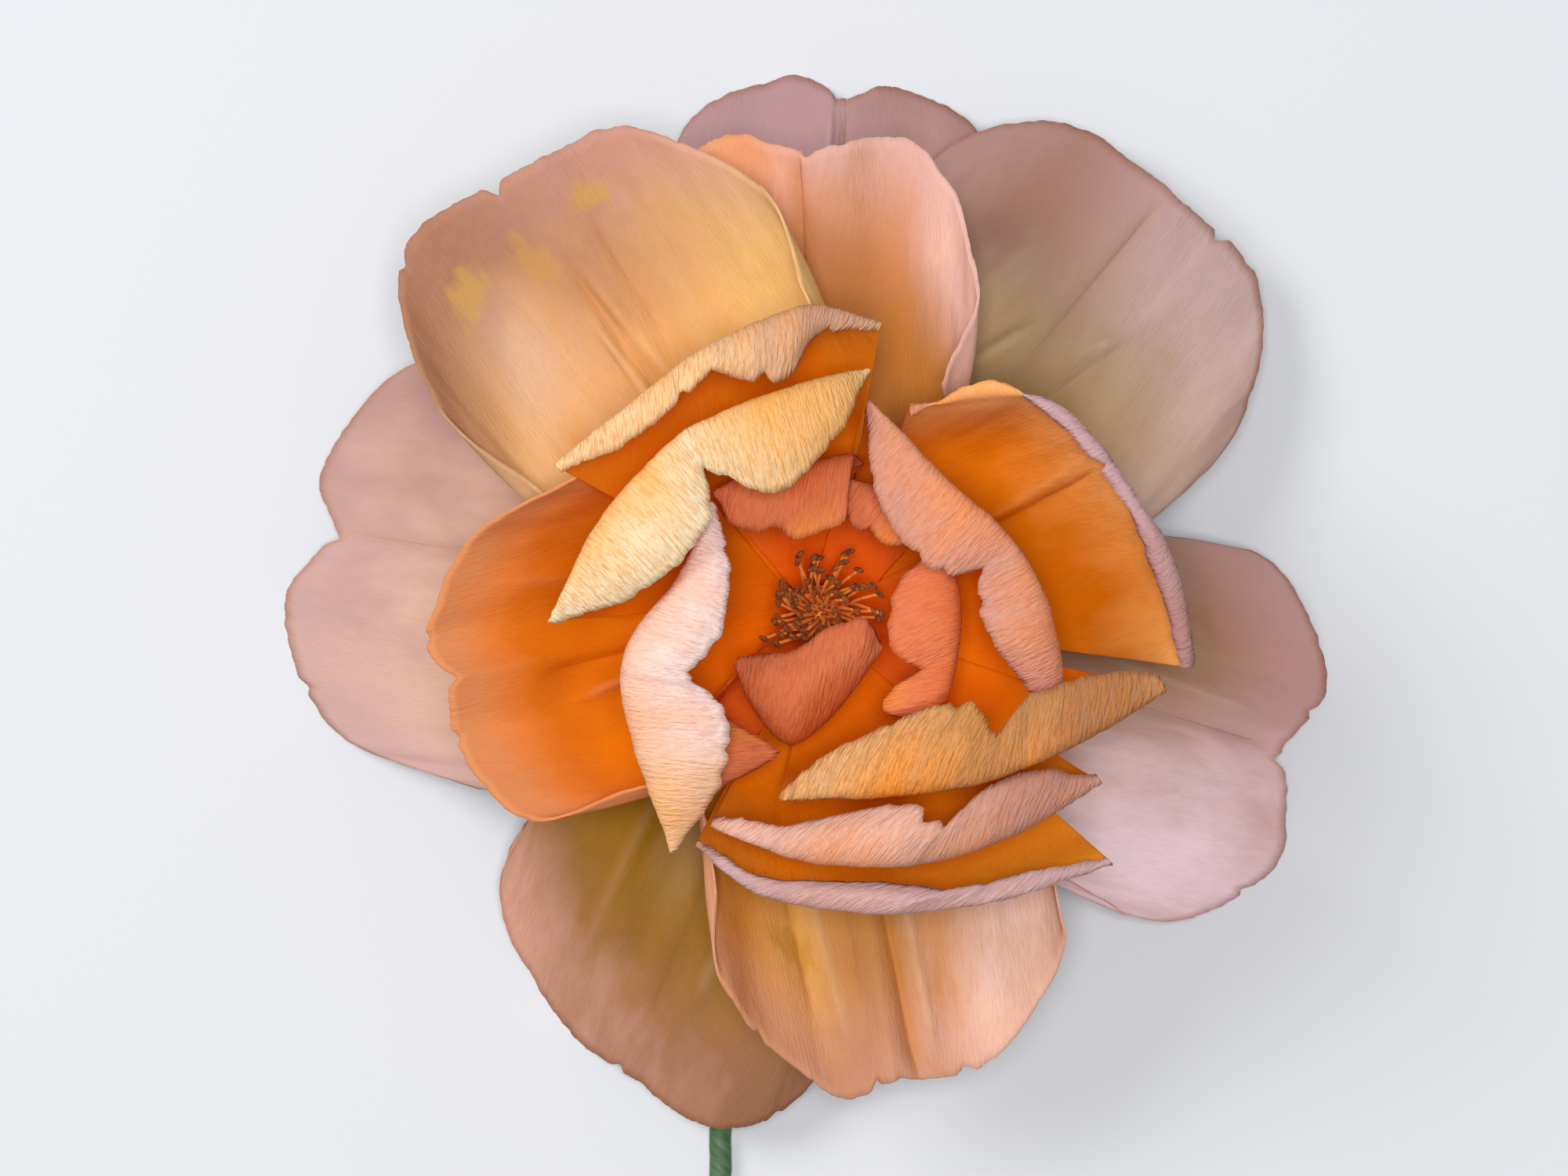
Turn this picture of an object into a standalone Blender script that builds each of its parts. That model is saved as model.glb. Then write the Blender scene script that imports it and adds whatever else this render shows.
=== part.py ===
"""An open garden rose of crepe paper, lying face up with its wire stem bent flat behind it.

Each petal is one cut sheet. It is drawn by ribs that run from its claw, glued to the core, over
the belly of the cup and the fold of the rolled rim to the torn edge. The petals are laid from
the middle outward, and each one is eased out along its back until it clears those inside it.
The flower's axis is Z, the table is z = 0, and the stem runs along -Y.
"""

import math

import bpy
from mathutils import Vector
from mathutils.bvhtree import BVHTree

MM = 0.001

# Paper and the fit between pieces
PAPER = 0.40 * MM
CLEARANCE = 0.30 * MM
FACET_ALLOWANCE = 0.10 * MM

# Core and stamens
CORE_RADIUS = 3.0 * MM
CORE_BOTTOM = 13.0 * MM
CORE_TOP = 30.0 * MM
STAMENS_IN_RING = 11
STAMEN_RINGS = (0.9 * MM, 1.95 * MM, CORE_RADIUS)
STAMEN_BUTTON = 1.2 * MM
STAMEN_THICKNESS = 0.55 * MM
ANTHER_THICKNESS = 1.3 * MM
ANTHER_LENGTH = 1.8 * MM
STAMEN_HEIGHT = 8.6 * MM
STAMEN_SPREAD = 4.2 * MM

# Stem: a wire in a paper wrap, bent flat under the flower, then drifting aside to its line
WIRE_RADIUS = 0.55 * MM
STEM_RADIUS = 1.45 * MM
STEM_BEND_RADIUS = 4.8 * MM
STEM_OFFSET = 12.5 * MM
STEM_DRIFT = 55.0 * MM
STEM_REACH = 138.0 * MM
WIRE_SHOWING = 2.0 * MM
STEM_SIDES = 10
STEM_STEP = 6.0 * MM

# Calyx and sepals
CALYX_RADIUS = 5.0 * MM
CALYX_BOTTOM = STEM_RADIUS + STEM_BEND_RADIUS + CLEARANCE
CALYX_NECK_RADIUS = 2.6 * MM
CALYX_WIDEST = 0.80
SEPAL_COUNT = 5
SEPAL_LENGTH = 19.0 * MM
SEPAL_WIDTH = 6.5 * MM
SEPAL_DROOP = 3.5 * MM
SEPAL_TIP = 1.04

# Where each layer of petals is glued to the core, and how far its claws run up the core
CENTRE_CLAW_BOTTOM = 24.6 * MM
CUP_CLAW_BOTTOM = 24.0 * MM
MIDDLE_CLAW_BOTTOM = 22.8 * MM
OUTER_CLAW_BOTTOM = 18.8 * MM
CUP_CLAW_HEIGHT = 3.0 * MM
OPEN_CLAW_HEIGHT = 0.8 * MM
OPEN_CLAW_STEP = 0.8 * MM
CLAW_RADIUS = CORE_RADIUS + CLEARANCE + PAPER / 2
CLAW_HALF_ANGLE = math.radians(42)

# The flower's width from side to side, and the width at which its petals' tables are drawn
FLOWER_WIDTH = 131.8 * MM
DRAWN_WIDTH = 131.8 * MM

# How far behind a petal an inner one is looked for, on its wall and on its rolled rim, and
# how a petal is eased clear of it
WALL_REACH = 6.0 * MM
ROLL_REACH = 0.6 * MM
EASE_STEP = 2.0 * MM
EASE_ROUNDS = 24
CLAW_ROWS = 2
FOLLOW_ROUNDS = 4
OPEN_EASE_OUT = 0.3
Z_AXIS = Vector((0.0, 0.0, 1.0))

# Each petal is one row: its rim and its fold, as points (x, y, z) in millimetres from the
# flower's axis and the table, in anticlockwise order seen from above. The middle point of
# the rim is the notch. A petal without a fold is open and has only a rim.
CENTRE_PETALS = {
    "centre_petal_front": {
        "rim": ((-9.7, -5.2, 45), (-6.5, -4.9, 46), (-3.0, -4.3, 46), (0.0, -2.3, 46),
                (2.5, -1.0, 46), (5.0, -0.9, 46), (6.5, -3.6, 45)),
        "fold": ((-10.2, -6.2, 45), (-8.2, -11.0, 44), (-4.2, -15.4, 43), (0.0, -13.2, 43),
                 (3.8, -8.8, 44), (6.9, -4.2, 45)),
    },
    "centre_petal_right": {
        "rim": ((12.2, -12.6, 46), (7.0, -11.7, 47), (8.2, -9.0, 47), (11.5, -7.0, 47),
                (7.6, -4.0, 47), (8.3, 2.5, 47), (12.6, 7.0, 46)),
        "fold": ((13.2, -13.0, 45), (14.8, -9.0, 46), (15.6, -4.5, 46), (16.0, 1.5, 46),
                 (14.4, 7.4, 45)),
    },
    "centre_petal_upper_right": {
        "rim": ((10.6, 8.2, 45), (8.6, 7.2, 46), (6.2, 8.4, 46), (5.4, 9.6, 46),
                (4.0, 9.4, 46), (2.8, 11.0, 46), (2.2, 14.0, 45)),
        "fold": ((11.6, 9.0, 45), (10.0, 12.0, 45), (6.5, 14.4, 45), (2.6, 15.4, 45)),
    },
    "centre_petal_upper": {
        "rim": ((1.6, 13.6, 46), (0.9, 9.9, 47), (-3.2, 8.4, 47), (-5.4, 9.8, 47),
                (-8.0, 9.0, 47), (-10.8, 9.9, 47), (-12.0, 12.6, 46)),
        "fold": ((2.4, 15.2, 46), (-1.5, 17.2, 46), (-6.0, 17.4, 46), (-12.8, 13.8, 46)),
    },
    "centre_petal_lower_left": {
        "rim": ((-12.6, -11.4, 45), (-10.0, -13.2, 46), (-7.0, -14.9, 46), (-4.7, -16.3, 46),
                (-6.4, -17.6, 46), (-9.0, -19.0, 46), (-11.4, -19.8, 45)),
        "fold": ((-13.6, -11.4, 45), (-15.4, -15.0, 45), (-15.0, -18.4, 45),
                 (-12.2, -21.2, 45)),
    },
}

CUP_PETALS = {
    "cup_petal_right": {
        "rim": ((24.0, -9.4, 50), (19.5, -4.0, 53), (17.6, 1.0, 53), (17.9, 4.8, 54),
                (12.5, 4.3, 54), (6.3, 12.0, 54), (4.8, 22.8, 52)),
        "fold": ((28.0, -9.5, 48), (26.2, 0.0, 51), (21.8, 8.0, 53), (15.0, 14.5, 54),
                 (5.2, 24.2, 52)),
    },
    "cup_petal_lower_right": {
        "rim": ((-4.4, -20.4, 51), (3.5, -14.5, 54), (16.0, -9.9, 56), (19.9, -14.0, 57),
                (24.0, -9.0, 56), (32.0, -6.7, 55), (38.4, -6.8, 53)),
        "fold": ((-5.0, -21.3, 51), (5.0, -21.4, 54), (16.5, -19.9, 55), (27.5, -16.0, 55),
                 (39.0, -9.2, 53)),
    },
    "cup_petal_lower": {
        "rim": ((-12.2, -23.6, 49), (-3.0, -24.1, 53), (10.0, -21.8, 55), (14.2, -24.0, 56),
                (19.5, -19.3, 55), (25.0, -18.0, 54), (31.2, -18.6, 51)),
        "fold": ((-12.9, -24.5, 49), (-3.0, -28.4, 52), (9.0, -29.2, 53), (20.0, -26.4, 53),
                 (31.8, -19.6, 51)),
    },
    "cup_petal_bottom": {
        "rim": ((-14.3, -26.4, 45), (-6.0, -31.0, 48), (6.0, -31.2, 49), (14.5, -32.2, 50),
                (20.0, -31.0, 49), (26.0, -29.6, 48), (32.8, -28.5, 46)),
        "fold": ((-14.8, -27.2, 45), (-6.5, -32.8, 47), (7.0, -34.6, 48), (20.0, -33.2, 48),
                 (33.4, -29.1, 46)),
    },
    "cup_petal_left": {
        "rim": ((-12.0, 11.8, 52), (-10.6, 5.0, 54), (-11.4, -2.5, 55), (-15.3, -7.0, 56),
                (-10.8, -12.0, 55), (-11.2, -19.0, 54), (-16.2, -27.0, 50)),
        "fold": ((-12.8, 12.6, 52), (-16.0, 5.0, 53), (-22.8, -5.0, 54), (-21.8, -15.0, 53),
                 (-17.4, -27.6, 50)),
    },
    "cup_petal_upper": {
        "rim": ((5.0, 26.9, 53), (2.2, 20.5, 56), (-4.5, 13.5, 57), (-13.2, 15.8, 58),
                (-13.0, 9.6, 58), (-19.0, 3.0, 57), (-30.0, -1.9, 53)),
        "fold": ((5.4, 27.6, 52), (-3.0, 25.9, 55), (-15.5, 20.6, 57), (-25.5, 10.5, 56),
                 (-31.4, -1.0, 53)),
    },
    "cup_petal_top": {
        "rim": ((6.4, 32.3, 49), (-1.0, 31.6, 52), (-5.0, 25.9, 54), (-12.8, 27.3, 55),
                (-17.5, 23.0, 54), (-23.5, 18.5, 52), (-30.0, 15.8, 49)),
        "fold": ((6.8, 33.1, 48), (-2.0, 34.9, 51), (-12.0, 31.0, 52), (-21.5, 24.2, 51),
                 (-31.0, 16.9, 48)),
    },
}

MIDDLE_PETALS = {
    "middle_petal_right": {
        "rim": ((41.8, -6.5, 43), (39.2, 2.5, 45), (36.0, 10.6, 46), (34.2, 13.6, 46),
                (26.5, 22.6, 47), (18.5, 26.8, 46), (10.4, 22.6, 43)),
        "fold": ((42.8, -6.6, 42), (41.6, 3.0, 44), (35.6, 14.2, 45), (26.0, 24.0, 45),
                 (10.2, 23.6, 42)),
    },
    "middle_petal_left": {
        "rim": ((-27.0, 16.5, 43), (-40.5, 9.5, 42), (-47.0, -2.5, 40), (-44.4, -8.0, 41),
                (-43.4, -15.0, 40), (-35.0, -24.2, 41), (-20.0, -20.6, 40)),
    },
    "middle_petal_upper_left": {
        "rim": ((-0.6, 33.0, 40), (-6.6, 49.0, 38), (-22.6, 57.6, 34), (-36.8, 52.4, 36),
                (-50.0, 43.0, 33), (-46.4, 25.4, 35), (-32.4, 13.1, 37)),
    },
    "middle_petal_lower": {
        "rim": ((-13.0, -26.0, 34), (-11.6, -45.0, 32), (1.0, -58.4, 27), (8.8, -56.6, 30),
                (20.5, -54.4, 27), (28.8, -41.0, 31), (27.0, -28.0, 34)),
    },
    "middle_petal_top": {
        "rim": ((14.0, 27.0, 36), (18.4, 39.0, 35), (11.5, 56.2, 29), (-2.6, 55.0, 31),
                (-11.5, 57.4, 27), (-20.0, 50.0, 28), (-22.0, 34.0, 30)),
    },
}

OUTER_PETALS = {
    "outer_petal_upper_right": {
        "rim": ((35.0, 8.4, 19), (50.6, 20.4, 13), (54.8, 39.8, 8), (43.6, 52.2, 11),
                (29.6, 60.8, 8), (14.0, 55.6, 11), (10.0, 38.0, 17)),
    },
    "outer_petal_top": {
        "rim": ((15.0, 40.0, 13), (20.4, 58.4, 5), (9.7, 65.8, 1), (3.4, 64.4, 3),
                (-4.5, 67.4, 0.3), (-16.9, 60.6, 4), (-21.0, 42.0, 13)),
    },
    "outer_petal_left": {
        "rim": ((-34.0, 30.0, 18), (-51.9, 30.1, 8), (-62.5, 17.8, 2), (-60.7, 9.8, 4),
                (-67.6, 0.0, 0.3), (-60.9, -15.4, 2), (-42.4, -22.0, 13)),
    },
    "outer_petal_lower_left": {
        "rim": ((-30.4, -20.0, 18), (-39.8, -34.2, 7), (-34.0, -50.6, 0.3), (-24.8, -58.2, 5),
                (-12.7, -64.6, 7), (-1.0, -59.1, 9), (6.0, -40.0, 17)),
    },
    "outer_petal_right": {
        "rim": ((27.0, -31.4, 17), (43.6, -39.0, 6), (57.8, -31.8, 0.3), (58.2, -17.7, 4),
                (64.0, -8.0, 0.3), (55.0, 6.8, 5), (37.2, 5.4, 13)),
    },
}

# Share of the way out and of the way up at which the cup's belly lies
CUP_BELLY_OUT = 0.74
CUP_BELLY_UP = 0.42
OPEN_BELLY_OUT = 0.52
OPEN_BELLY_UP = 0.40
OPEN_SHOULDER_OUT = 0.80
OPEN_SHOULDER_UP = 0.80
OPEN_CUPPING = 2.0 * MM
OPEN_SIDE_BULGE = 6.5 * MM
MIDDLE_ARCH = 0.0 * MM
OUTER_ARCH = 7.0 * MM
ROLL_RISE = 0.15

# Segments of a petal's grid from claw to rim and from side to side
CENTRE_ROWS, CENTRE_COLUMNS = 6, 8
CUP_ROWS, CUP_COLUMNS = 9, 12
OPEN_ROWS, OPEN_COLUMNS = 7, 12

# Each layer's petals, colour, claw height on the core, arch over an open petal's belly, grid
PETAL_KINDS = (
    (CENTRE_PETALS, "coral", CENTRE_CLAW_BOTTOM, 0.0, CENTRE_ROWS, CENTRE_COLUMNS),
    (CUP_PETALS, "orange", CUP_CLAW_BOTTOM, 0.0, CUP_ROWS, CUP_COLUMNS),
    (MIDDLE_PETALS, "apricot", MIDDLE_CLAW_BOTTOM, MIDDLE_ARCH, OPEN_ROWS, OPEN_COLUMNS),
    (OUTER_PETALS, "peach", OUTER_CLAW_BOTTOM, OUTER_ARCH, OPEN_ROWS, OPEN_COLUMNS),
)

COLOURS = {
    "coral": (0.88, 0.27, 0.11),
    "orange": (0.90, 0.33, 0.05),
    "apricot": (0.86, 0.47, 0.17),
    "peach": (0.82, 0.52, 0.36),
    "thread": (0.62, 0.20, 0.02),
    "leaf_green": (0.08, 0.20, 0.08),
    "core": (0.80, 0.70, 0.45),
    "steel": (0.35, 0.35, 0.35),
}


def material(name):
    """A paper, thread or wire material in its own colour."""
    found = bpy.data.materials.get(name)
    if found:
        return found
    made = bpy.data.materials.new(name)
    made.use_nodes = True
    shader = made.node_tree.nodes["Principled BSDF"]
    shader.inputs["Base Color"].default_value = (*COLOURS[name], 1.0)
    shader.inputs["Roughness"].default_value = 0.35 if name == "steel" else 0.85
    shader.inputs["Metallic"].default_value = 1.0 if name == "steel" else 0.0
    made.diffuse_color = (*COLOURS[name], 1.0)
    return made


def add_object(name, vertices, faces, colour, rose):
    """Make one named solid and hang it on the rose's empty."""
    mesh = bpy.data.meshes.new(name)
    mesh.from_pydata([tuple(vertex) for vertex in vertices], [], faces)
    mesh.update()
    mesh.shade_smooth()
    mesh.set_sharp_from_angle(angle=math.radians(50))
    mesh.materials.append(material(colour))
    made = bpy.data.objects.new(name, mesh)
    bpy.context.scene.collection.objects.link(made)
    made.parent = rose
    return made


def spline(points, share):
    """The point at a share of the way along a smooth curve through the points."""
    last = len(points) - 1
    place = min(max(share, 0.0), 1.0) * last
    index = min(int(place), last - 1)
    t = place - index
    start, end = points[index], points[index + 1]
    before = points[index - 1] if index > 0 else start * 2 - end
    after = points[index + 2] if index + 2 <= last else end * 2 - start
    return 0.5 * (
        start * 2
        + (end - before) * t
        + (before * 2 - start * 5 + end * 4 - after) * t * t
        + (start * 3 - before - end * 3 + after) * t * t * t
    )


def notched(points, share):
    """A smooth curve on either side of the middle point, which stays a sharp notch."""
    middle = len(points) // 2
    if share <= 0.5:
        return spline(points[: middle + 1], share * 2)
    return spline(points[middle:], share * 2 - 1)


def even_steps(points, count):
    """Points at even spacing along the smooth curve through the given points."""
    fine = [spline(points, step / 60) for step in range(61)]
    run = [0.0]
    for a, b in zip(fine, fine[1:]):
        run.append(run[-1] + (b - a).length)
    steps = []
    index = 0
    for step in range(count + 1):
        wanted = run[-1] * step / count
        while index < 59 and run[index + 1] < wanted:
            index += 1
        span = run[index + 1] - run[index]
        steps.append(fine[index].lerp(fine[index + 1], (wanted - run[index]) / span))
    return steps


def in_metres(points):
    """The table's millimetre points as vectors in metres, at the flower's own width."""
    spread = FLOWER_WIDTH / DRAWN_WIDTH
    return [Vector((x * spread, y * spread, z)) * MM for x, y, z in points]


def rib_points(claw, claw_top, rim, fold):
    """The points that one rib of a petal runs through, from claw to rim."""
    if fold is None:
        belly = claw_top.lerp(rim, OPEN_BELLY_OUT)
        belly.z = claw_top.z + (rim.z - claw_top.z) * OPEN_BELLY_UP
        shoulder = claw_top.lerp(rim, OPEN_SHOULDER_OUT)
        shoulder.z = claw_top.z + (rim.z - claw_top.z) * OPEN_SHOULDER_UP
        return [claw, claw_top, belly, shoulder, rim]
    belly = claw_top.lerp(fold, CUP_BELLY_OUT)
    belly.z = claw_top.z + (fold.z - claw_top.z) * CUP_BELLY_UP
    crest = fold.lerp(rim, 0.5)
    crest.z = max(fold.z, rim.z) + (rim - fold).length * ROLL_RISE
    return [claw, claw_top, belly, fold, crest, rim]


def petal_grid(petal, claw_bottom, arch, rows, columns):
    """The middle surface of a petal, as rows from the claw to the rim."""
    rim = in_metres(petal["rim"])
    fold = in_metres(petal["fold"]) if "fold" in petal else None
    middle = notched(rim, 0.5) if fold is None else spline(fold, 0.5)
    heading = math.atan2(middle.y, middle.x)
    ribs = []
    for column in range(columns + 1):
        share = column / columns
        angle = heading + (share * 2 - 1) * CLAW_HALF_ANGLE
        claw = Vector((math.cos(angle), math.sin(angle), 0.0)) * CLAW_RADIUS
        claw.z = claw_bottom
        claw_top = claw * 1.15
        claw_top.z = claw_bottom + (OPEN_CLAW_HEIGHT if fold is None else CUP_CLAW_HEIGHT)
        edge = notched(rim, share)
        bend = spline(fold, share) if fold else None
        points = rib_points(claw, claw_top, edge, bend)
        if fold is None:
            side = share * 2 - 1
            sideways = Vector((-math.sin(heading), math.cos(heading), 0.0))
            sag = OPEN_CUPPING * (1 - side * side)
            for point, weight in ((points[2], 1.0), (points[3], 0.6)):
                point.z += (arch - sag) * weight
                point += sideways * OPEN_SIDE_BULGE * side * weight
        ribs.append(even_steps(points, rows))
    return [[rib[row] for rib in ribs] for row in range(rows + 1)]


def back_normals(grid):
    """Unit vectors out of the petal's back, one for each point of its grid."""
    rows, columns = len(grid) - 1, len(grid[0]) - 1
    normals = []
    for i in range(rows + 1):
        line = []
        for j in range(columns + 1):
            along = grid[min(i + 1, rows)][j] - grid[max(i - 1, 0)][j]
            across = grid[i][min(j + 1, columns)] - grid[i][max(j - 1, 0)]
            line.append(across.cross(along).normalized())
        normals.append(line)
    return normals


def grid_triangles(rows, columns):
    """Triangles over a grid whose points are numbered row by row, facing its back."""
    triangles = []
    for i in range(rows):
        for j in range(columns):
            a = i * (columns + 1) + j
            b, c, d = a + 1, a + columns + 2, a + columns + 1
            triangles += [(a, b, c), (a, c, d)]
    return triangles


def sheet_solid(grid, thickness):
    """Vertices and faces of the closed sheet with the grid as its middle surface."""
    rows, columns = len(grid) - 1, len(grid[0]) - 1
    normals = back_normals(grid)
    back, front = [], []
    for line, line_normals in zip(grid, normals):
        for point, normal in zip(line, line_normals):
            back.append(point + normal * thickness / 2)
            front.append(point - normal * thickness / 2)
    count = len(back)
    skin = grid_triangles(rows, columns)
    faces = list(skin)
    faces += [(c + count, b + count, a + count) for a, b, c in skin]
    edge = [j for j in range(columns + 1)]
    edge += [i * (columns + 1) + columns for i in range(1, rows + 1)]
    edge += [rows * (columns + 1) + j for j in range(columns - 1, -1, -1)]
    edge += [i * (columns + 1) for i in range(rows - 1, 0, -1)]
    for a, b in zip(edge, edge[1:] + edge[:1]):
        faces += [(b, a, a + count), (b, a + count, b + count)]
    return back + front, faces


def middle_tree(grid):
    """A search tree over a petal's middle surface."""
    points = [point for line in grid for point in line]
    return BVHTree.FromPolygons(points, grid_triangles(len(grid) - 1, len(grid[0]) - 1))


def push_needed(grid, normals, placed, fold_row, apart):
    """How far each point of a petal must move along its back to clear the inner petals."""
    columns = len(grid[0]) - 1
    need = [[0.0] * (columns + 1) for _ in grid]
    for _, inner_tree, _ in placed:
        for i, line in enumerate(grid):
            reach = ROLL_REACH if i > fold_row else WALL_REACH
            for j, point in enumerate(line):
                hit = inner_tree.ray_cast(point, normals[i][j], reach)
                if hit[0] is not None:
                    need[i][j] = max(need[i][j], hit[3] + apart)
                near = inner_tree.find_nearest(point, apart)
                if near[0] is not None:
                    need[i][j] = max(need[i][j], apart - near[3])
    tree = middle_tree(grid)
    for inner_grid, _, _ in placed:
        for line in inner_grid:
            for point in line:
                near = tree.find_nearest(point, WALL_REACH)
                if near[0] is None:
                    continue
                cell = near[2] // 2
                i, j = cell // columns, cell % columns
                offset = point - near[0]
                depth = offset.dot(normals[i][j])
                reach = ROLL_REACH if i > fold_row else WALL_REACH
                behind = depth > 0.85 * near[3] and depth < reach
                if not behind and near[3] >= apart:
                    continue
                push = max(depth, 0.0) + apart if behind else apart - near[3]
                for row, column in ((i, j), (i, j + 1), (i + 1, j), (i + 1, j + 1)):
                    need[row][column] = max(need[row][column], push)
    return need


def spread(need, rounds):
    """Let the neighbours of a pushed point follow it, so that the sheet stays smooth."""
    rows, columns = len(need) - 1, len(need[0]) - 1
    moved = [list(line) for line in need]
    for _ in range(rounds):
        before = [list(line) for line in moved]
        for i in range(rows + 1):
            for j in range(columns + 1):
                around = (
                    before[max(i - 1, 0)][j]
                    + before[min(i + 1, rows)][j]
                    + before[i][max(j - 1, 0)]
                    + before[i][min(j + 1, columns)]
                )
                moved[i][j] = max(need[i][j], around / 4)
    return moved


def ease_directions(grid, is_open):
    """The way each point of a petal is eased: out along its back, and flat at the claw.

    An open petal is eased down and a little outward, below the petals that lie on it.
    """
    directions = back_normals(grid)
    for i, line in enumerate(grid):
        outward = [Vector((point.x, point.y, 0.0)).normalized() for point in line]
        if is_open:
            directions[i] = [(way * OPEN_EASE_OUT - Z_AXIS).normalized() for way in outward]
        elif i < CLAW_ROWS:
            directions[i] = outward
    return directions


def eased(grid, directions, need):
    """The grid with each point moved along its direction by what it needs."""
    moved = spread(need, FOLLOW_ROUNDS)
    return [
        [point + way * move for point, way, move in zip(*lines)]
        for lines in zip(grid, directions, moved)
    ]


def touching_points(grid, placed):
    """A push for each point of the grid whose sheet still cuts into an inner petal's sheet."""
    vertices, faces = sheet_solid(grid, PAPER + CLEARANCE)
    sheet = BVHTree.FromPolygons(vertices, faces)
    columns = len(grid[0])
    need = [[0.0] * columns for _ in grid]
    for _, _, inner_sheet in placed:
        for face, _ in sheet.overlap(inner_sheet):
            for vertex in faces[face]:
                place = vertex % (len(grid) * columns)
                need[place // columns][place % columns] = CLEARANCE
    return need


def lay_clear(grid, placed, fold_row):
    """Ease a petal out along its back until it clears every petal laid before it."""
    apart = PAPER + CLEARANCE + FACET_ALLOWANCE
    directions = ease_directions(grid, fold_row > len(grid))
    for _ in range(EASE_ROUNDS):
        need = push_needed(grid, directions, placed, fold_row, apart)
        if max(max(line) for line in need) < FACET_ALLOWANCE / 5:
            break
        need = [[min(push, EASE_STEP) for push in line] for line in need]
        grid = eased(grid, directions, need)
    for _ in range(EASE_ROUNDS):
        need = touching_points(grid, placed)
        if max(max(line) for line in need) == 0.0:
            break
        grid = eased(grid, directions, need)
    return grid


def laid(grid):
    """A petal as later ones need it: its grid, a tree of its middle and one of its sheet."""
    return grid, middle_tree(grid), BVHTree.FromPolygons(*sheet_solid(grid, PAPER))


def make_petals(rose):
    """Lay all petals from the middle outward."""
    placed = []
    for table, colour, claw_bottom, arch, rows, columns in PETAL_KINDS:
        for name, petal in table.items():
            if "fold" not in petal:
                claw_bottom -= OPEN_CLAW_STEP
            grid = petal_grid(petal, claw_bottom, arch, rows, columns)
            fold_row = rows * 0.62 if "fold" in petal else rows + 2
            grid = lay_clear(grid, placed, fold_row)
            placed.append(laid(grid))
            vertices, faces = sheet_solid(grid, PAPER)
            add_object(name, vertices, faces, colour, rose)


def turned(profile, sides):
    """Vertices and faces of a closed solid turned about Z from (radius, height) points."""
    vertices, faces = [], []
    for radius, height in profile:
        for side in range(sides):
            angle = math.tau * side / sides
            vertices.append(Vector((radius * math.cos(angle), radius * math.sin(angle), height)))
    for ring in range(len(profile) - 1):
        for side in range(sides):
            a = ring * sides + side
            b = ring * sides + (side + 1) % sides
            faces.append((a, b, b + sides, a + sides))
    faces.append(tuple(range(sides - 1, -1, -1)))
    top = (len(profile) - 1) * sides
    faces.append(tuple(range(top, top + sides)))
    return vertices, faces


def frames_along(path):
    """Two unit vectors across the path at each of its points, without twist."""
    frames = []
    side = Vector((1.0, 0.0, 0.0))
    for index, _ in enumerate(path):
        ahead = path[min(index + 1, len(path) - 1)] - path[max(index - 1, 0)]
        ahead.normalize()
        side = (side - ahead * side.dot(ahead)).normalized()
        frames.append((side, ahead.cross(side)))
    return frames


def tube(path, radius, sides):
    """Vertices and faces of a solid round rod along a path."""
    vertices, faces = [], []
    for point, (side, other) in zip(path, frames_along(path)):
        for step in range(sides):
            angle = math.tau * step / sides
            vertices.append(point + (side * math.cos(angle) + other * math.sin(angle)) * radius)
    for ring in range(len(path) - 1):
        for step in range(sides):
            a = ring * sides + step
            b = ring * sides + (step + 1) % sides
            faces.append((a, b, b + sides, a + sides))
    faces.append(tuple(range(sides - 1, -1, -1)))
    last = (len(path) - 1) * sides
    faces.append(tuple(range(last, last + sides)))
    return vertices, faces


def make_core(rose):
    """The paper core that the petals' claws and the stamens are glued to."""
    bevel = 0.5 * MM
    profile = (
        (CORE_RADIUS - bevel, CORE_BOTTOM),
        (CORE_RADIUS, CORE_BOTTOM + bevel),
        (CORE_RADIUS, CORE_TOP - bevel),
        (CORE_RADIUS - bevel, CORE_TOP),
    )
    vertices, faces = turned(profile, 16)
    add_object("flower_core", vertices, faces, "core", rose)


def make_calyx(rose):
    """The green cup between the stem and the petals."""
    top = CORE_BOTTOM - CLEARANCE
    height = top - CALYX_BOTTOM
    profile = (
        (CALYX_NECK_RADIUS, CALYX_BOTTOM),
        (CALYX_RADIUS * 0.72, CALYX_BOTTOM + height * 0.22),
        (CALYX_RADIUS * 0.97, CALYX_BOTTOM + height * 0.55),
        (CALYX_RADIUS, CALYX_BOTTOM + height * CALYX_WIDEST),
        (CALYX_RADIUS * 0.86, top),
    )
    vertices, faces = turned(profile, 20)
    add_object("calyx_cup", vertices, faces, "leaf_green", rose)


def make_sepals(rose):
    """Five pointed green sepals that spread from the widest part of the calyx cup."""
    height = CALYX_BOTTOM + (CORE_BOTTOM - CLEARANCE - CALYX_BOTTOM) * CALYX_WIDEST
    base = CALYX_RADIUS + CLEARANCE + PAPER / 2
    rows, columns = 7, 4
    for number in range(SEPAL_COUNT):
        heading = math.radians(55) + math.tau * number / SEPAL_COUNT
        outward = Vector((math.cos(heading), math.sin(heading), 0.0))
        sideways = Vector((-math.sin(heading), math.cos(heading), 0.0))
        grid = []
        for row in range(rows + 1):
            along = row / rows
            half = SEPAL_WIDTH / 2 * (0.55 + 1.6 * along) * (SEPAL_TIP - along) ** 0.8
            line = []
            for column in range(columns + 1):
                side = column / columns * 2 - 1
                point = outward * (base + SEPAL_LENGTH * along) + sideways * half * side
                point.z = height - SEPAL_DROOP * along * along - half * 0.18 * side * side
                line.append(point)
            grid.append(line)
        vertices, faces = sheet_solid(grid, PAPER)
        add_object(f"sepal_{number + 1}", vertices, faces, "leaf_green", rose)


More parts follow.
